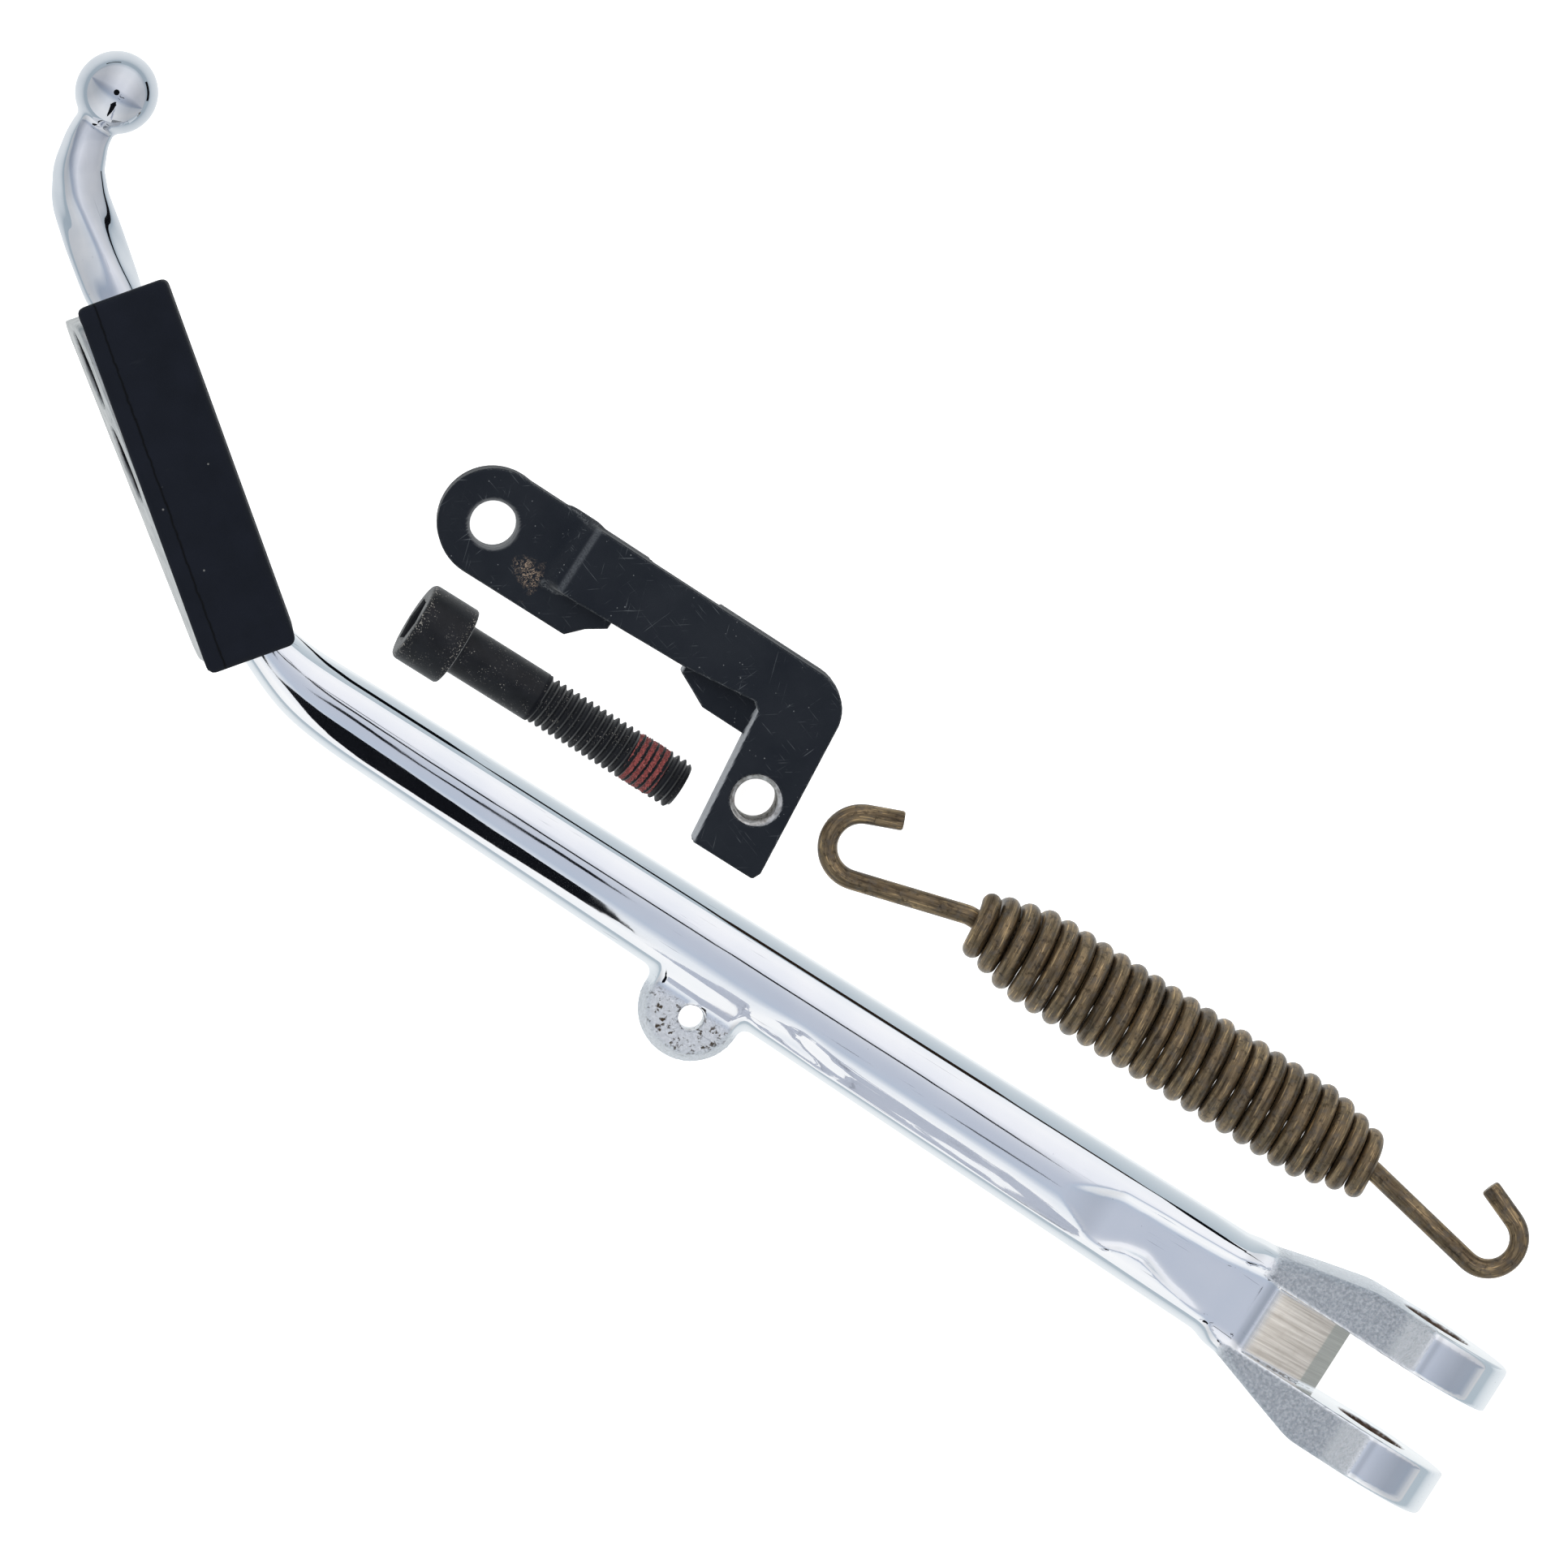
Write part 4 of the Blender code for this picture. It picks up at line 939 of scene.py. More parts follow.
def build_patch(compound):
    """A grainy sleeve over a few turns of the thread, thinner at its two ends."""
    grain = np.random.default_rng(7)
    depths = np.arange(*PATCH_SPAN, PATCH_STEP)
    rings = [ring(PATCH_BACK, -depths[-1]), ring(PATCH_BACK, -depths[0])]
    for depth in depths:
        rough = grain.normal(0.0, PATCH_GRAIN, TURN_SEGMENTS).clip(-0.3, 0.22)
        from_end = min(depth - PATCH_SPAN[0], PATCH_SPAN[1] - depth)
        thinner = 0.5 * max(0.0, 0.6 - from_end)
        rings.append(ring(PATCH_RADIUS + rough - thinner, -depth))
    points, faces = skin_rings(rings[::-1], closed=True)
    name, body, node, slot = "thread_lock", "cap_screw", "thread_lock_patch", "locking_compound"
    patch = add_piece(name, points, faces, SCREW, body, node, compound)
    patch.visible_glossy = False


# ------------------------------------------------ spring

def sweep(points, radii, ups, sides):
    """Rings of a round wire along points. Each up vector fixes how its ring is turned."""
    along = np.gradient(points, axis=0)
    along /= np.linalg.norm(along, axis=1, keepdims=True)
    side = np.cross(along, ups)
    side /= np.linalg.norm(side, axis=1, keepdims=True)
    over = np.cross(side, along)
    angle = np.linspace(0.0, 2 * math.pi, sides, endpoint=False)[:, None]
    return [
        centre + radius * (np.cos(angle) * one + np.sin(angle) * two)
        for centre, radius, one, two in zip(points, radii, side, over)
    ]


def add_wire(name, points, radii, ups, body, node, material, sides):
    """A swept wire whose material can follow the wire: distance along it, and angle round it."""
    skin, faces = skin_rings(sweep(points, radii, ups, sides))
    piece = add_piece(name, skin, faces, SPRING, body, node, material)
    hops = np.linalg.norm(np.diff(points, axis=0), axis=1)
    along = np.repeat(np.concatenate(([0.0], np.cumsum(hops))), sides)
    angle = np.tile(np.linspace(0.0, 2 * math.pi, sides, endpoint=False), len(points))
    add_vectors(piece.data, "wire", np.stack([along, np.cos(angle), np.sin(angle)], axis=1))
    return piece


def smooth_path(corners, step, blur):
    """A path through corners, sampled evenly, with its corners rounded over blur mm."""
    corners = np.array(corners, float)
    chord = np.concatenate(([0.0], np.cumsum(np.linalg.norm(np.diff(corners, axis=0), axis=1))))
    t = np.arange(0.0, chord[-1], step)
    lines = [curve(list(zip(chord, column)), blur)(t) for column in corners.T]
    return np.stack(lines, axis=1)


def build_hook(node, side, shape, material):
    kink, bend, radius, degrees, tip = shape
    bend_points = arc(bend, radius, *degrees, 28)
    turning = math.copysign(tip, degrees[1] - degrees[0])
    last = math.radians(degrees[1])
    end = bend_points[-1][0] - turning * math.sin(last), bend_points[-1][1] + turning * math.cos(last)
    corners = [(side * HEAD_X, 0.0), (kink, 0.0)] + bend_points + [end]
    path = smooth_path([(x, y, 0.0) for x, y in corners], HOOK_STEP, HOOK_BLUR)
    along = HOOK_STEP * np.arange(len(path))
    radii = HOOK_WIRE + (HOOK_HEAD[0] - HOOK_WIRE) * falling(along, HOOK_HEAD[1], 0.5)
    from_end = np.minimum(along, along[-1] - along)
    radii = radii - WIRE_END_ROUNDING * falling(from_end, 0.5, 0.5)
    ups = np.tile((0.0, 0.0, 1.0), (len(path), 1))
    add_wire(node + "_wire", path, radii, ups, node, node, material, HOOK_SIDES)


def build_coil(material):
    turn = np.linspace(0.0, COIL_TURNS, round(COIL_TURNS * COIL_STEPS) + 1)
    from_end = np.minimum(turn, COIL_TURNS - turn)
    share = np.clip((from_end - COIL_FLAT_TURNS) / COIL_TAPER_TURNS, 0.0, 1.0)
    radius = COIL_END_RADIUS + (COIL_RADIUS - COIL_END_RADIUS) * (0.7 * share + 0.3 * smooth_step(share))
    angle = COIL_START + 2 * math.pi * turn
    out = np.stack([np.zeros_like(angle), np.cos(angle), np.sin(angle)], axis=1)
    path = out * radius[:, None]
    path[:, 0] = (turn - COIL_TURNS / 2) * COIL_PITCH
    radii = np.full(len(path), COIL_WIRE)
    radii[[0, -1]] -= WIRE_END_ROUNDING
    coil = add_wire("spring_windings", path, radii, out, None, "spring_coil", material, COIL_SIDES)
    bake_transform(coil)


# ------------------------------------------------ node helpers

class Nodes:
    """A node tree, with short calls that add nodes to it."""

    def __init__(self, tree):
        self.tree = tree

    def add(self, kind, inputs=None, **settings):
        node = self.tree.nodes.new(kind)
        for key, value in settings.items():
            setattr(node, key, value)
        for key, value in (inputs or {}).items():
            self.feed(node.inputs[key], value)
        return node

    def feed(self, socket, value):
        if isinstance(value, bpy.types.NodeSocket):
            self.tree.links.new(value, socket)
        else:
            socket.default_value = value

    def read(self, attribute, output="Fac"):
        return self.add("ShaderNodeAttribute", attribute_name=attribute).outputs[output]

    def maths(self, operation, a, b=0.0):
        return self.add("ShaderNodeMath", {0: a, 1: b}, operation=operation).outputs[0]

    def times(self, a, b):
        return self.maths("MULTIPLY", a, b)

    def vector(self, operation, a, b=(0.0, 0.0, 0.0), output="Vector"):
        return self.add("ShaderNodeVectorMath", {0: a, 1: b}, operation=operation).outputs[output]

    def dot(self, a, b):
        return self.vector("DOT_PRODUCT", a, b, "Value")

    def place(self, stretch=(1.0, 1.0, 1.0)):
        """The piece's own coordinates in mm, stretched."""
        return self.vector("MULTIPLY", self.read("place", "Vector"), stretch)

    def along_wire(self, along, around):
        """Coordinates that follow a wire: the distance along it, and the angle round it."""
        return self.vector("MULTIPLY", self.read("wire", "Vector"), (along, around, around))

    def noise(self, vector, scale, detail=4.0, roughness=0.55, distortion=0.0):
        inputs = {"Vector": vector, "Scale": scale, "Detail": detail, "Roughness": roughness}
        inputs["Distortion"] = distortion
        return self.add("ShaderNodeTexNoise", inputs).outputs["Fac"]

    def span(self, value, low, high, start=0.0, end=1.0):
        """The value mapped from low..high to start..end, and held at the ends."""
        inputs = {0: value, 1: low, 2: high, 3: start, 4: end}
        return self.add("ShaderNodeMapRange", inputs).outputs[0]

    def dots(self, vector, scale, low, high):
        """Round specks, one in each cell of a scattered pattern."""
        inputs = {"Vector": vector, "Scale": scale}
        distance = self.add("ShaderNodeTexVoronoi", inputs).outputs["Distance"]
        return self.span(distance, low, high, 1.0, 0.0)

    def mix(self, share, a, b):
        node = self.add("ShaderNodeMix", data_type="RGBA")
        self.feed(node.inputs["Factor"], share)
        for index, colour in ((6, a), (7, b)):
            is_socket = isinstance(colour, bpy.types.NodeSocket)
            self.feed(node.inputs[index], colour if is_socket else (*colour, 1.0))
        return node.outputs[2]

    def shade(self, value, low, high, a, b):
        """Colour a where the value is low, and b where it is high."""
        return self.mix(self.span(value, low, high), a, b)

    def blend(self, share, a, b):
        node = self.add("ShaderNodeMix", data_type="FLOAT")
        for index, value in ((0, share), (2, a), (3, b)):
            self.feed(node.inputs[index], value)
        return node.outputs[0]

    def bump(self, height, strength, distance, normal=None):
        inputs = {"Height": height, "Strength": strength, "Distance": distance * MM}
        if normal is not None:
            inputs["Normal"] = normal
        return self.add("ShaderNodeBump", inputs).outputs["Normal"]


class Look(Nodes):
    """A material whose nodes end in one Principled shader."""

    def __init__(self, name):
        self.material = bpy.data.materials.new(name)
        self.material.use_nodes = True
        super().__init__(self.material.node_tree)
        self.shader = self.tree.nodes["Principled BSDF"]

    def finish(self, **values):
        for key, value in values.items():
            name = key.replace("_", " ").title().replace("Ior", "IOR")
            if isinstance(value, tuple):
                value = (*value, 1.0)
            self.feed(self.shader.inputs[name], value)
        return self.material

    def finish_glowing(self, base, glow):
        """A dull surface that also gives off light of the glow's colour."""
        dull = {"roughness": 0.9, "specular_ior_level": 0.0}
        return self.finish(base_color=base, emission_color=glow, emission_strength=1.0, **dull)


# ------------------------------------------------ materials

def plating(look, dull, bright):
    """Colour of bright chrome plate, with faint haze, specks and hairline scratches."""
    place = look.place()
    plate = look.shade(look.noise(place, 0.09, 3.0), 0.35, 0.65, dull, bright)
    rare = look.span(look.noise(place, 0.13, 1.0), 0.62, 0.66)
    specks = look.times(look.dots(place, 0.55, 0.05, 0.075), rare)
    plate = look.mix(look.times(specks, 0.5), plate, (0.3, 0.3, 0.32))
    scratches = look.span(look.noise(look.place((0.07, 2.8, 0.7)), 1.0, 3.0, 0.5, 0.3), 0.68, 0.72)
    scratches = look.times(scratches, look.span(look.noise(place, 0.07, 3.0), 0.48, 0.58))
    return look.mix(look.times(scratches, 0.5), plate, (0.36, 0.37, 0.41))


def casting(look):
    """Colour of rough forging under thin plate, with a painted highlight on the facet beside the eye."""
    pits = look.noise(look.place(), 1.7, 4.0, 0.6)
    rough = look.shade(pits, 0.36, 0.64, (0.56, 0.59, 0.64), (0.80, 0.83, 0.88))
    # painted highlight: the facet is mixed to near white
    return look.mix(look.read("facet"), rough, (0.93, 0.95, 0.98))


def bare_steel(look, lines):
    """Colour of the slot's two ground faces: warm on the first, and on the second a darker greenish grey that
    is painted shade.
    """
    stain = look.span(look.noise(look.place(), 0.35, 3.0), 0.55, 0.8, 0.0, 0.35)
    warm = look.shade(lines, 0.35, 0.65, (0.56, 0.51, 0.45), (0.94, 0.89, 0.82))
    warm = look.mix(stain, warm, (0.42, 0.36, 0.29))
    # painted shade: darker greenish copy of the ground steel for the second face
    shaded_green = look.shade(lines, 0.3, 0.7, (0.40, 0.41, 0.38), (0.56, 0.57, 0.53))
    return look.mix(look.read("shaded_second_face"), warm, shaded_green)


def chrome_look(name, dull, bright):
    look = Look(name)
    place = look.place()
    cast, machined, bore = (look.read(mask) for mask in ("cast", "machined", "bore"))
    lines = look.noise(look.place((0.04, 2.2, 0.04)), 1.0, 5.0, 0.7)
    dirt = look.noise(place, 0.35, 3.0)
    stains = look.span(look.noise(place, 0.75, 5.0, 0.7), 0.55, 0.59)
    colour = look.mix(cast, plating(look, dull, bright), casting(look))
    colour = look.mix(look.times(stains, look.read("lug")), colour, (0.075, 0.055, 0.035))
    colour = look.mix(machined, colour, bare_steel(look, lines))
    colour = look.mix(bore, colour, look.shade(dirt, 0.35, 0.65, (0.10, 0.065, 0.045), (0.24, 0.17, 0.13)))

    rough = look.span(look.noise(place, 0.09, 3.0), 0.3, 0.7, 0.02, 0.05)
    for mask, value in ((cast, 0.17), (machined, 0.42), (bore, 0.6)):
        rough = look.blend(mask, rough, value)
    normal = look.bump(look.noise(place, 0.16, 2.0), 0.10, 0.05)
    normal = look.bump(look.noise(place, 1.15, 5.0, 0.6), cast, 1.4, normal)
    normal = look.bump(lines, look.times(machined, 0.5), 0.15, normal)
    metal = look.blend(machined, 1.0, 0.35)
    return look.finish(base_color=colour, metallic=metal, roughness=rough, normal=normal)


def rubber_look():
    look = Look("pad_rubber")
    place = look.place()
    cloud = look.noise(place, 0.12, 4.0)
    grain = look.noise(place, 2.4, 4.0, 0.6)
    rare = look.span(look.noise(place, 0.2, 1.0), 0.58, 0.6)
    dust = look.times(look.dots(place, 0.32, 0.045, 0.08), rare)
    scuffs = look.span(look.noise(look.place((0.5, 0.12, 0.5)), 0.9, 5.0, 0.7), 0.66, 0.8, 0.0, 0.25)
    colour = look.shade(cloud, 0.3, 0.7, (0.0040, 0.0057, 0.0100), (0.0066, 0.0086, 0.0145))
    colour = look.mix(dust, colour, (0.12, 0.12, 0.12))
    colour = look.mix(scuffs, colour, (0.022, 0.025, 0.030))
    wander = look.span(look.noise(place, 0.5, 3.0), 0.2, 0.8, CREASE_Y - 0.25, CREASE_Y + 0.25)
    from_crease = look.maths("ABSOLUTE", look.maths("SUBTRACT", look.dot(place, (0.0, 1.0, 0.0)), wander))
    crease_groove_and_shade = look.span(from_crease, 0.0, 0.30, 1.0, 0.0)
    # painted shade: a near-black line along the pad's crease; the same mask also sinks a groove in the bump
    colour = look.mix(crease_groove_and_shade, colour, (0.0012, 0.0015, 0.0020))
    rough = look.span(cloud, 0.3, 0.7, 0.62, 0.78)
    normal = look.bump(look.noise(place, 0.3, 2.0), 0.25, 0.25)
    normal = look.bump(grain, 0.35, 0.08, normal)
    normal = look.bump(look.maths("SUBTRACT", 1.0, crease_groove_and_shade), 0.8, 0.2, normal)
    return look.finish(base_color=colour, roughness=rough, normal=normal, specular_ior_level=0.12)


def plate_look():
    look = Look("wear_plate_steel")
    place = look.place()
    cloud = look.noise(place, 0.25, 4.0)
    lines = look.noise(look.place((0.06, 1.6, 0.6)), 1.0, 4.0, 0.6)
    marks = look.span(look.noise(place, 0.5, 3.0, 0.6), 0.64, 0.7)
    colour = look.shade(lines, 0.3, 0.7, (0.38, 0.39, 0.39), (0.62, 0.63, 0.63))
    colour = look.mix(look.span(cloud, 0.4, 0.7, 0.0, 0.4), colour, (0.32, 0.33, 0.34))
    colour = look.mix(look.times(marks, 0.7), colour, (0.10, 0.10, 0.10))
    # painted shade: the window walls are near black
    colour = look.mix(look.read("window"), colour, (0.012, 0.012, 0.013))
    rough = look.span(cloud, 0.3, 0.7, 0.30, 0.46)
    return look.finish(base_color=colour, metallic=1.0, roughness=rough, normal=look.bump(lines, 0.3, 0.08))


def scratches_along(look, degrees, low, high):
    """Thin broken scratches that run along one direction."""
    inputs = {"Vector": look.place(), "Angle": math.radians(degrees)}
    turned = look.add("ShaderNodeVectorRotate", inputs, rotation_type="Z_AXIS").outputs[0]
    stretched = look.vector("MULTIPLY", turned, (0.10, 3.2, 0.5))
    return look.span(look.noise(stretched, 1.0, 3.0, 0.5, 0.4), low, high)


def add_scuff(look, colour):
    """A tangle of fine brown marks at the foot of the bracket's ramp."""
    place = look.place()
    away = look.vector("LENGTH", look.vector("SUBTRACT", place, SCUFF_CENTRE), output="Value")
    away = look.maths("ADD", away, look.span(look.noise(place, 0.35, 3.0), 0.3, 0.7, -2.0, 2.5))
    near = look.span(away, 1.4, 3.8, 0.8, 0.0)
    for scale in (0.45, 0.8):
        level = look.maths("ABSOLUTE", look.maths("SUBTRACT", look.noise(place, scale, 3.0, 0.6, 1.5), 0.5))
        share = look.times(near, look.span(level, 0.004, 0.012, 1.0, 0.0))
        colour = look.mix(share, colour, (0.36, 0.27, 0.20))
    return colour


def bracket_look():
    look = Look("bracket_black")
    place = look.place()
    cloud = look.noise(place, 0.10, 5.0)
    grain = look.noise(place, 3.0, 4.0, 0.6)
    colour = look.shade(cloud, 0.3, 0.7, (0.0080, 0.0105, 0.0155), (0.0130, 0.0160, 0.0215))
    breaks = look.span(look.noise(place, 0.22, 3.0), 0.45, 0.6)
    for degrees, low in BRACKET_SCRATCHES:
        scratch = look.times(scratches_along(look, degrees, low, low + 0.05), breaks)
        colour = look.mix(look.times(scratch, 0.42), colour, (0.15, 0.165, 0.18))
    specks = look.times(look.dots(place, 0.75, 0.07, 0.12), look.span(look.noise(place, 0.3, 2.0), 0.55, 0.6))
    worn = look.times(look.span(look.read("edge"), 0.10, 0.27), look.span(grain, 0.42, 0.62))
    # painted light: lighter grey on the short leg's face towards the hole
    side = look.times(look.read("painted_light_side"), look.span(grain, 0.25, 0.75, 0.45, 1.0))
    line = look.times(look.read("ramp_edge"), look.span(grain, 0.3, 0.6, 0.25, 0.9))
    for share, paint in (
        (look.times(specks, 0.6), (0.22, 0.23, 0.24)),
        (look.times(worn, 0.45), (0.20, 0.21, 0.22)),
        (side, (0.38, 0.40, 0.43)),
        (line, (0.065, 0.072, 0.082)),
        (look.times(look.read("hole_lip"), 0.5), (0.24, 0.25, 0.26)),
    ):
        colour = look.mix(share, colour, paint)
    colour = add_scuff(look, colour)
    rough = look.span(cloud, 0.3, 0.7, 0.44, 0.58)
    normal = look.bump(look.noise(place, 0.4, 3.0), 0.2, 0.2)
    normal = look.bump(grain, 0.4, 0.07, normal)
    return look.finish(base_color=colour, roughness=rough, normal=normal, specular_ior_level=0.1)


def bare_thread_look():
    look = Look("bare_thread")
    stain = look.noise(look.place(), 0.9, 4.0)
    colour = look.shade(stain, 0.35, 0.65, (0.30, 0.28, 0.26), (0.72, 0.71, 0.69))
    normal = look.bump(look.noise(look.place(), 3.0, 3.0), 0.3, 0.08)
    rough = look.span(stain, 0.3, 0.7, 0.25, 0.45)
    return look.finish(base_color=colour, metallic=1.0, roughness=rough, normal=normal)


def oxide_look():
    look = Look("black_oxide")
    place = look.place()
    cloud = look.noise(place, 0.25, 4.0)
    fleck = look.noise(place, 3.0, 3.0, 0.6)
    where = look.span(look.noise(place, 0.30, 3.0), 0.45, 0.62)
    specks = look.times(look.span(fleck, 0.62, 0.68), where)
    chips = look.times(look.span(fleck, 0.58, 0.66), look.read("rim"))
    colour = look.shade(cloud, 0.3, 0.7, (0.0035, 0.0040, 0.0055), (0.0095, 0.0105, 0.0135))
    colour = look.mix(look.times(specks, 0.7), colour, (0.38, 0.36, 0.33))
    colour = look.mix(look.times(chips, 0.7), colour, (0.40, 0.38, 0.34))
    rough = look.span(cloud, 0.3, 0.7, 0.28, 0.42)
    normal = look.bump(look.noise(place, 2.6, 4.0, 0.6), 0.45, 0.09)
    shine = look.blend(look.read("thread"), 0.22, 0.07)
    return look.finish(base_color=colour, roughness=rough, normal=normal, specular_ior_level=shine)


def compound_look():
    look = Look("locking_compound")
    place = look.place()
    grain = look.noise(place, 2.6, 5.0, 0.7)
    colour = look.shade(grain, 0.36, 0.60, (0.035, 0.006, 0.006), (0.36, 0.075, 0.070))
    colour = look.mix(look.span(look.noise(place, 4.0, 2.0), 0.66, 0.72), colour, (0.62, 0.30, 0.27))
    return look.finish(base_color=colour, roughness=0.75, normal=look.bump(grain, 0.9, 0.25))


def wire_look():
    look = Look("spring_wire")
    place = look.place()
    streaks = look.noise(look.along_wire(0.09, 1.9), 1.0, 5.0, 0.65)
    fine = look.noise(look.along_wire(0.30, 7.0), 1.0, 3.0, 0.6)
    mottle = look.noise(place, 0.55, 4.0, 0.6)
    # painted highlights: short golden glints along the wire
    golden_painted_glints = look.times(look.span(fine, 0.55, 0.66), look.span(streaks, 0.45, 0.6))
    dark = look.span(look.noise(place, 0.9, 4.0, 0.65), 0.54, 0.68, 0.0, 0.7)
    colour = look.shade(streaks, 0.36, 0.64, (0.058, 0.041, 0.025), (0.280, 0.205, 0.120))
    colour = look.mix(look.span(mottle, 0.48, 0.66, 0.0, 0.8), colour, (0.125, 0.105, 0.085))
    colour = look.mix(look.times(golden_painted_glints, 0.8), colour, (0.72, 0.50, 0.25))
    colour = look.mix(dark, colour, (0.030, 0.022, 0.015))
    normal = look.bump(mottle, 0.25, 0.15, look.bump(fine, 0.35, 0.07))
    rough = look.span(streaks, 0.3, 0.7, 0.24, 0.42)
    return look.finish(base_color=colour, metallic=0.85, roughness=rough, normal=normal)


# ------------------------------------------------ stage

def leg_surface(x, y):
    """Points on the upper side of the leg's surface and its normals there, in the shared frame."""
    points = np.stack([x, y, np.full_like(x, LEG_TOP)], axis=1)
    for _ in range(DROP_ROUNDS):
        points[:, 2] -= np.clip(leg_field(*points.T), -DROP_LIMIT, DROP_LIMIT) * DROP_SHARE
    slope = field_slope(leg_field, points)
    turn = np.array(LEG.to_3x3())
    normals = slope @ turn.T
    normals /= np.linalg.norm(normals, axis=1, keepdims=True)
    return points * MM @ turn.T + np.array(LEG.translation), normals


def reflected(eye, x, y, distance):
    """Where a flag has to stand for the eye to see it at places x, y on the leg."""
    points, normals = leg_surface(x, y)
    look = points - np.array(eye)
    look /= np.linalg.norm(look, axis=1, keepdims=True)
    away = look - 2 * (look * normals).sum(1, keepdims=True) * normals
    to_floor = (points[:, 2] - FLAG_LIFT) / np.maximum(-away[:, 2], 1e-6)
    reach = np.where(away[:, 2] < 0, np.minimum(distance, to_floor), distance)
    return points + away * reach[:, None]


def cloth_look(name, colour):
    return Look(name).finish(base_color=colour, roughness=0.9, specular_ior_level=0.0)


def card_look():
    """White near the floor, and greyer higher up."""
    look = Look("white_card")
    height = look.dot(look.place(), (0.0, 0.0, 1.0))
    return look.finish_glowing((0.0, 0.0, 0.0), look.shade(height, *CARD_HEIGHTS, *MIRRORED_FLOOR))


def add_flag(name, points, faces, material):
    """A sheet on the stage that only mirror-like surfaces see."""
    flag = add_mesh(name, points, faces, Matrix(), material)
    flag.visible_camera = False
    flag.visible_diffuse = False
    flag.visible_shadow = False


def strip_faces(count):
    """Faces between two rows of points."""
    return [(i, i + 1, count + i + 1, count + i) for i in range(count - 1)]


def add_strip(name, eye, high, low, distance, material):
    """A flag that is seen in the bar between two lines of places, tapered at both ends."""
    start, end = max(high[0][0], low[0][0]), min(high[-1][0], low[-1][0])
    x = np.linspace(start, end, FLAG_STEPS)
    lines = [curve(line, FLAG_BLUR)(x) for line in (high, low)]
    middle = (lines[0] + lines[1]) / 2
    taper = np.minimum(1.0, np.minimum(x - start, end - x) / FLAG_TAPER)
    edges = [reflected(eye, x, middle + (line - middle) * taper, distance) for line in lines]
    add_flag(name, np.concatenate(edges) / MM, strip_faces(FLAG_STEPS), material)


def add_card():
    card = [LEG @ (Vector((x, y, 0.0)) * MM) / MM for x, y in CARD_LINE]
    points = [(place.x, place.y, height) for height in CARD_HEIGHTS for place in card]
    add_flag("flag_card", points, strip_faces(len(card)), card_look())


def add_ball_flags(eye, material):
    ball = np.array(PAD @ (Vector((*BALL_CENTRE, 0.0)) * MM)) / MM
    for i, (middle, one, two) in enumerate(BALL_FLAGS):
        middle, one, two = (np.array(side) for side in (middle, one, two))
        corners = [ball + middle + one * a + two * b for a, b in SQUARE]
        add_flag(f"flag_ball_{i}", corners, [(0, 1, 2, 3)], material)
    toward = np.array(eye) / MM - ball
    toward /= np.linalg.norm(toward)
    height, radius = BALL_DOT
    points = ball + toward * height + ring(radius, 0.0, DOT_SIDES)
    add_flag("flag_dot", points, [tuple(range(DOT_SIDES))], material)


def add_flags(eye):
    cloths = {name: cloth_look(name + "_cloth", colour) for name, colour in CLOTHS.items()}
    add_strip("flag_band", eye, *BLACK_BAND, FAR, cloths["black"])
    for i, (line, half, distance, cloth) in enumerate(THIN_LINES):
        high = [(x, y + half) for x, y in line]
        low = [(x, y - half) for x, y in line]
        add_strip(f"flag_line_{i}", eye, high, low, distance, cloths[cloth])
    add_card()
    add_ball_flags(eye, cloths["black"])


def add_floor():
    """A pale floor, lit a little from below like a light table."""
    look = Look("floor")
    path = look.add("ShaderNodeLightPath")
    mirrored = look.shade(path.outputs["Ray Length"], *FLOOR_FADE, *MIRRORED_FLOOR)
    cloud = look.noise(look.place(), 0.004, 2.0)
    paint = look.mix(cloud, (0.80, 0.80, 0.80), (0.82, 0.82, 0.82))
    glossy = path.outputs["Is Glossy Ray"]
    base = look.mix(glossy, paint, (0.0, 0.0, 0.0))
    look.finish_glowing(base, look.mix(glossy, (0.85, 0.85, 0.85), mirrored))
    depth = CAD_LOW.z / MM - FLOOR_GAP
    points = [(x * FLOOR_HALF, y * FLOOR_HALF, depth) for x, y in SQUARE]
    add_mesh("floor", points, [(0, 1, 2, 3)], Matrix(), look.material)


def studio_ramp(nodes, angle):
    """The studio's colours over the angle from straight up."""
    share = nodes.span(angle, -math.pi / 2, math.pi / 2)
    ramp = nodes.add("ShaderNodeValToRGB", {"Fac": share})
    stops = ramp.color_ramp.elements
    while len(stops) < len(STUDIO):
        stops.new(0.5)
    for stop, (degrees, colour) in zip(stops, STUDIO):
        stop.position = (degrees + 90) / 180
        stop.color = (*colour, 1.0)
    return ramp.outputs["Color"]


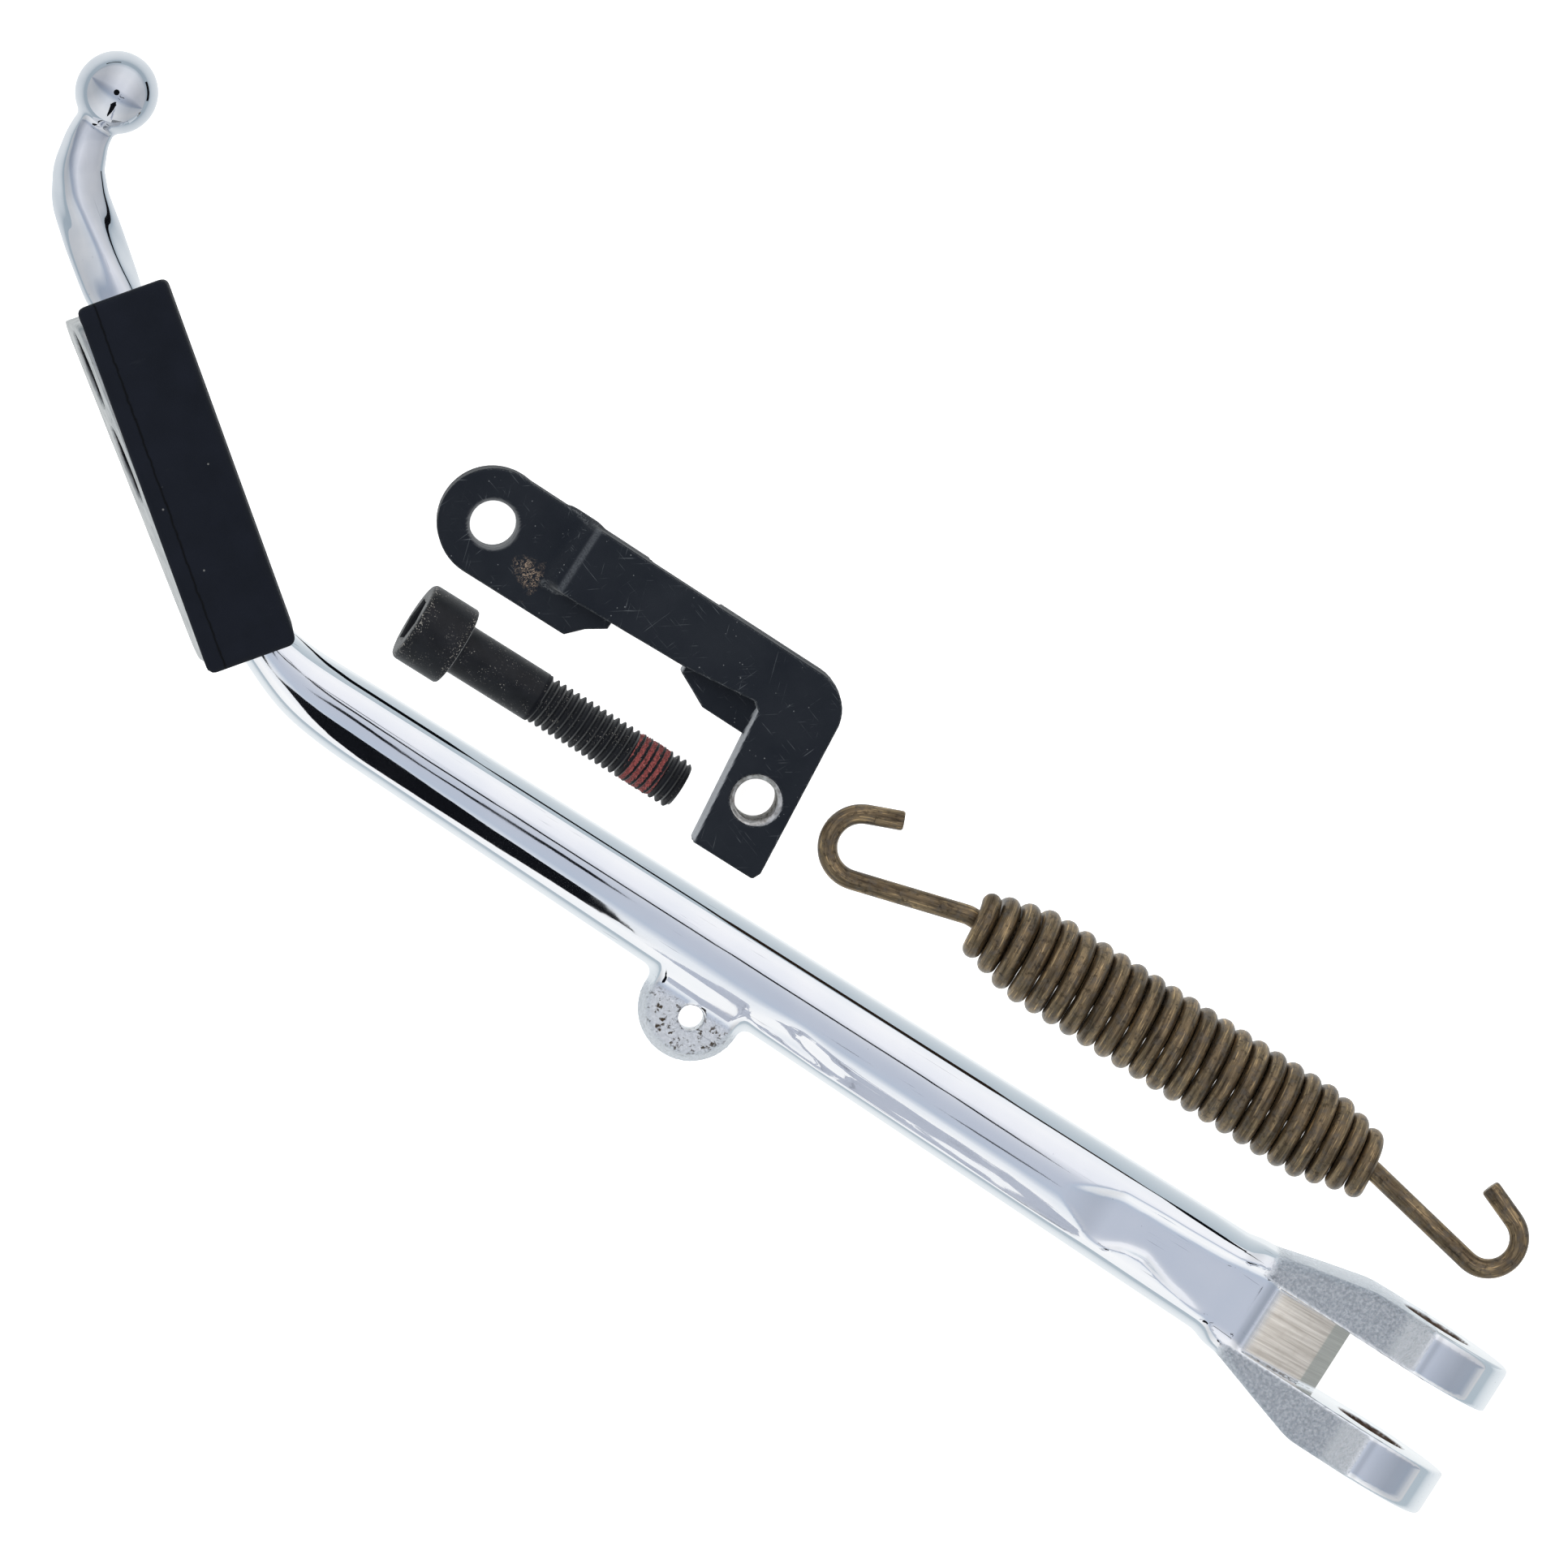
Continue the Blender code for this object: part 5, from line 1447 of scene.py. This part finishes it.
def add_world():
    """White light for the scene. Mirrors see the studio, which dims towards the leg's two ends."""
    world = bpy.data.worlds.new("studio")
    world.use_nodes = True
    bpy.context.scene.world = world
    nodes = Nodes(world.node_tree)
    direction = nodes.add("ShaderNodeTexCoord").outputs["Generated"]
    along, across = (LEG.to_3x3() @ Vector(axis) for axis in ((1.0, 0.0, 0.0), (0.0, 1.0, 0.0)))
    angle = nodes.maths("ARCTAN2", nodes.dot(direction, across), nodes.dot(direction, UP))
    lengthways = nodes.maths("ABSOLUTE", nodes.dot(direction, along))
    dim = nodes.span(lengthways, 0.2, 0.8, 0.0, 0.42)
    mirrored = nodes.mix(dim, studio_ramp(nodes, angle), STUDIO_END)
    glossy = nodes.add("ShaderNodeLightPath").outputs["Is Glossy Ray"]
    background = nodes.tree.nodes["Background"]
    nodes.feed(background.inputs["Color"], nodes.mix(glossy, (1.0, 1.0, 1.0), mirrored))


def add_key_light():
    data = bpy.data.lights.new("key", "AREA")
    data.size = KEY_SIZE
    data.energy = KEY_POWER
    light = bpy.data.objects.new("key", data)
    light.location = KEY_PLACE
    light.rotation_euler = (-Vector(KEY_PLACE)).to_track_quat("-Z", "Y").to_euler()
    light.visible_glossy = False
    bpy.context.scene.collection.objects.link(light)


def add_camera():
    """Returns where it stands."""
    target = (CAD_LOW + CAD_HIGH) / 2 + Vector((*AIM, 0.0)) * MM
    width = (CAD_HIGH.x - CAD_LOW.x) / KIT_IN_FRAME
    back = (UP * math.cos(CAMERA_TILT) + CAMERA_LEAN * math.sin(CAMERA_TILT)).normalized()
    right = Vector((0.0, 1.0, 0.0)).cross(back).normalized()
    data = bpy.data.cameras.new("camera")
    data.lens = LENS
    data.sensor_width = SENSOR
    camera = bpy.data.objects.new("camera", data)
    eye = target + back * (width * LENS / SENSOR)
    camera.matrix_world = frame_matrix(eye, right, back.cross(right), back)
    bpy.context.scene.collection.objects.link(camera)
    bpy.context.scene.camera = camera
    return eye


def main():
    bpy.context.scene.view_settings.view_transform = "Standard"
    build_bar(chrome_look("bar_chrome", (0.90, 0.92, 0.95), (0.94, 0.95, 0.97)))
    # painted shade: the toe arm's chrome is a darker copy of the bar's
    build_toe_arm(chrome_look("toe_arm_chrome_painted_shade", (0.66, 0.69, 0.74), (0.76, 0.78, 0.82)))
    build_pad(rubber_look())
    build_wear_plate(plate_look())
    build_bracket(bracket_look())
    build_bracket_thread(bare_thread_look())
    build_screw(oxide_look())
    build_patch(compound_look())
    wire = wire_look()
    build_coil(wire)
    build_hook("hook_left", -1, LEFT_HOOK, wire)
    build_hook("hook_right", 1, RIGHT_HOOK, wire)
    add_floor()
    add_world()
    add_key_light()
    add_flags(add_camera())


main()
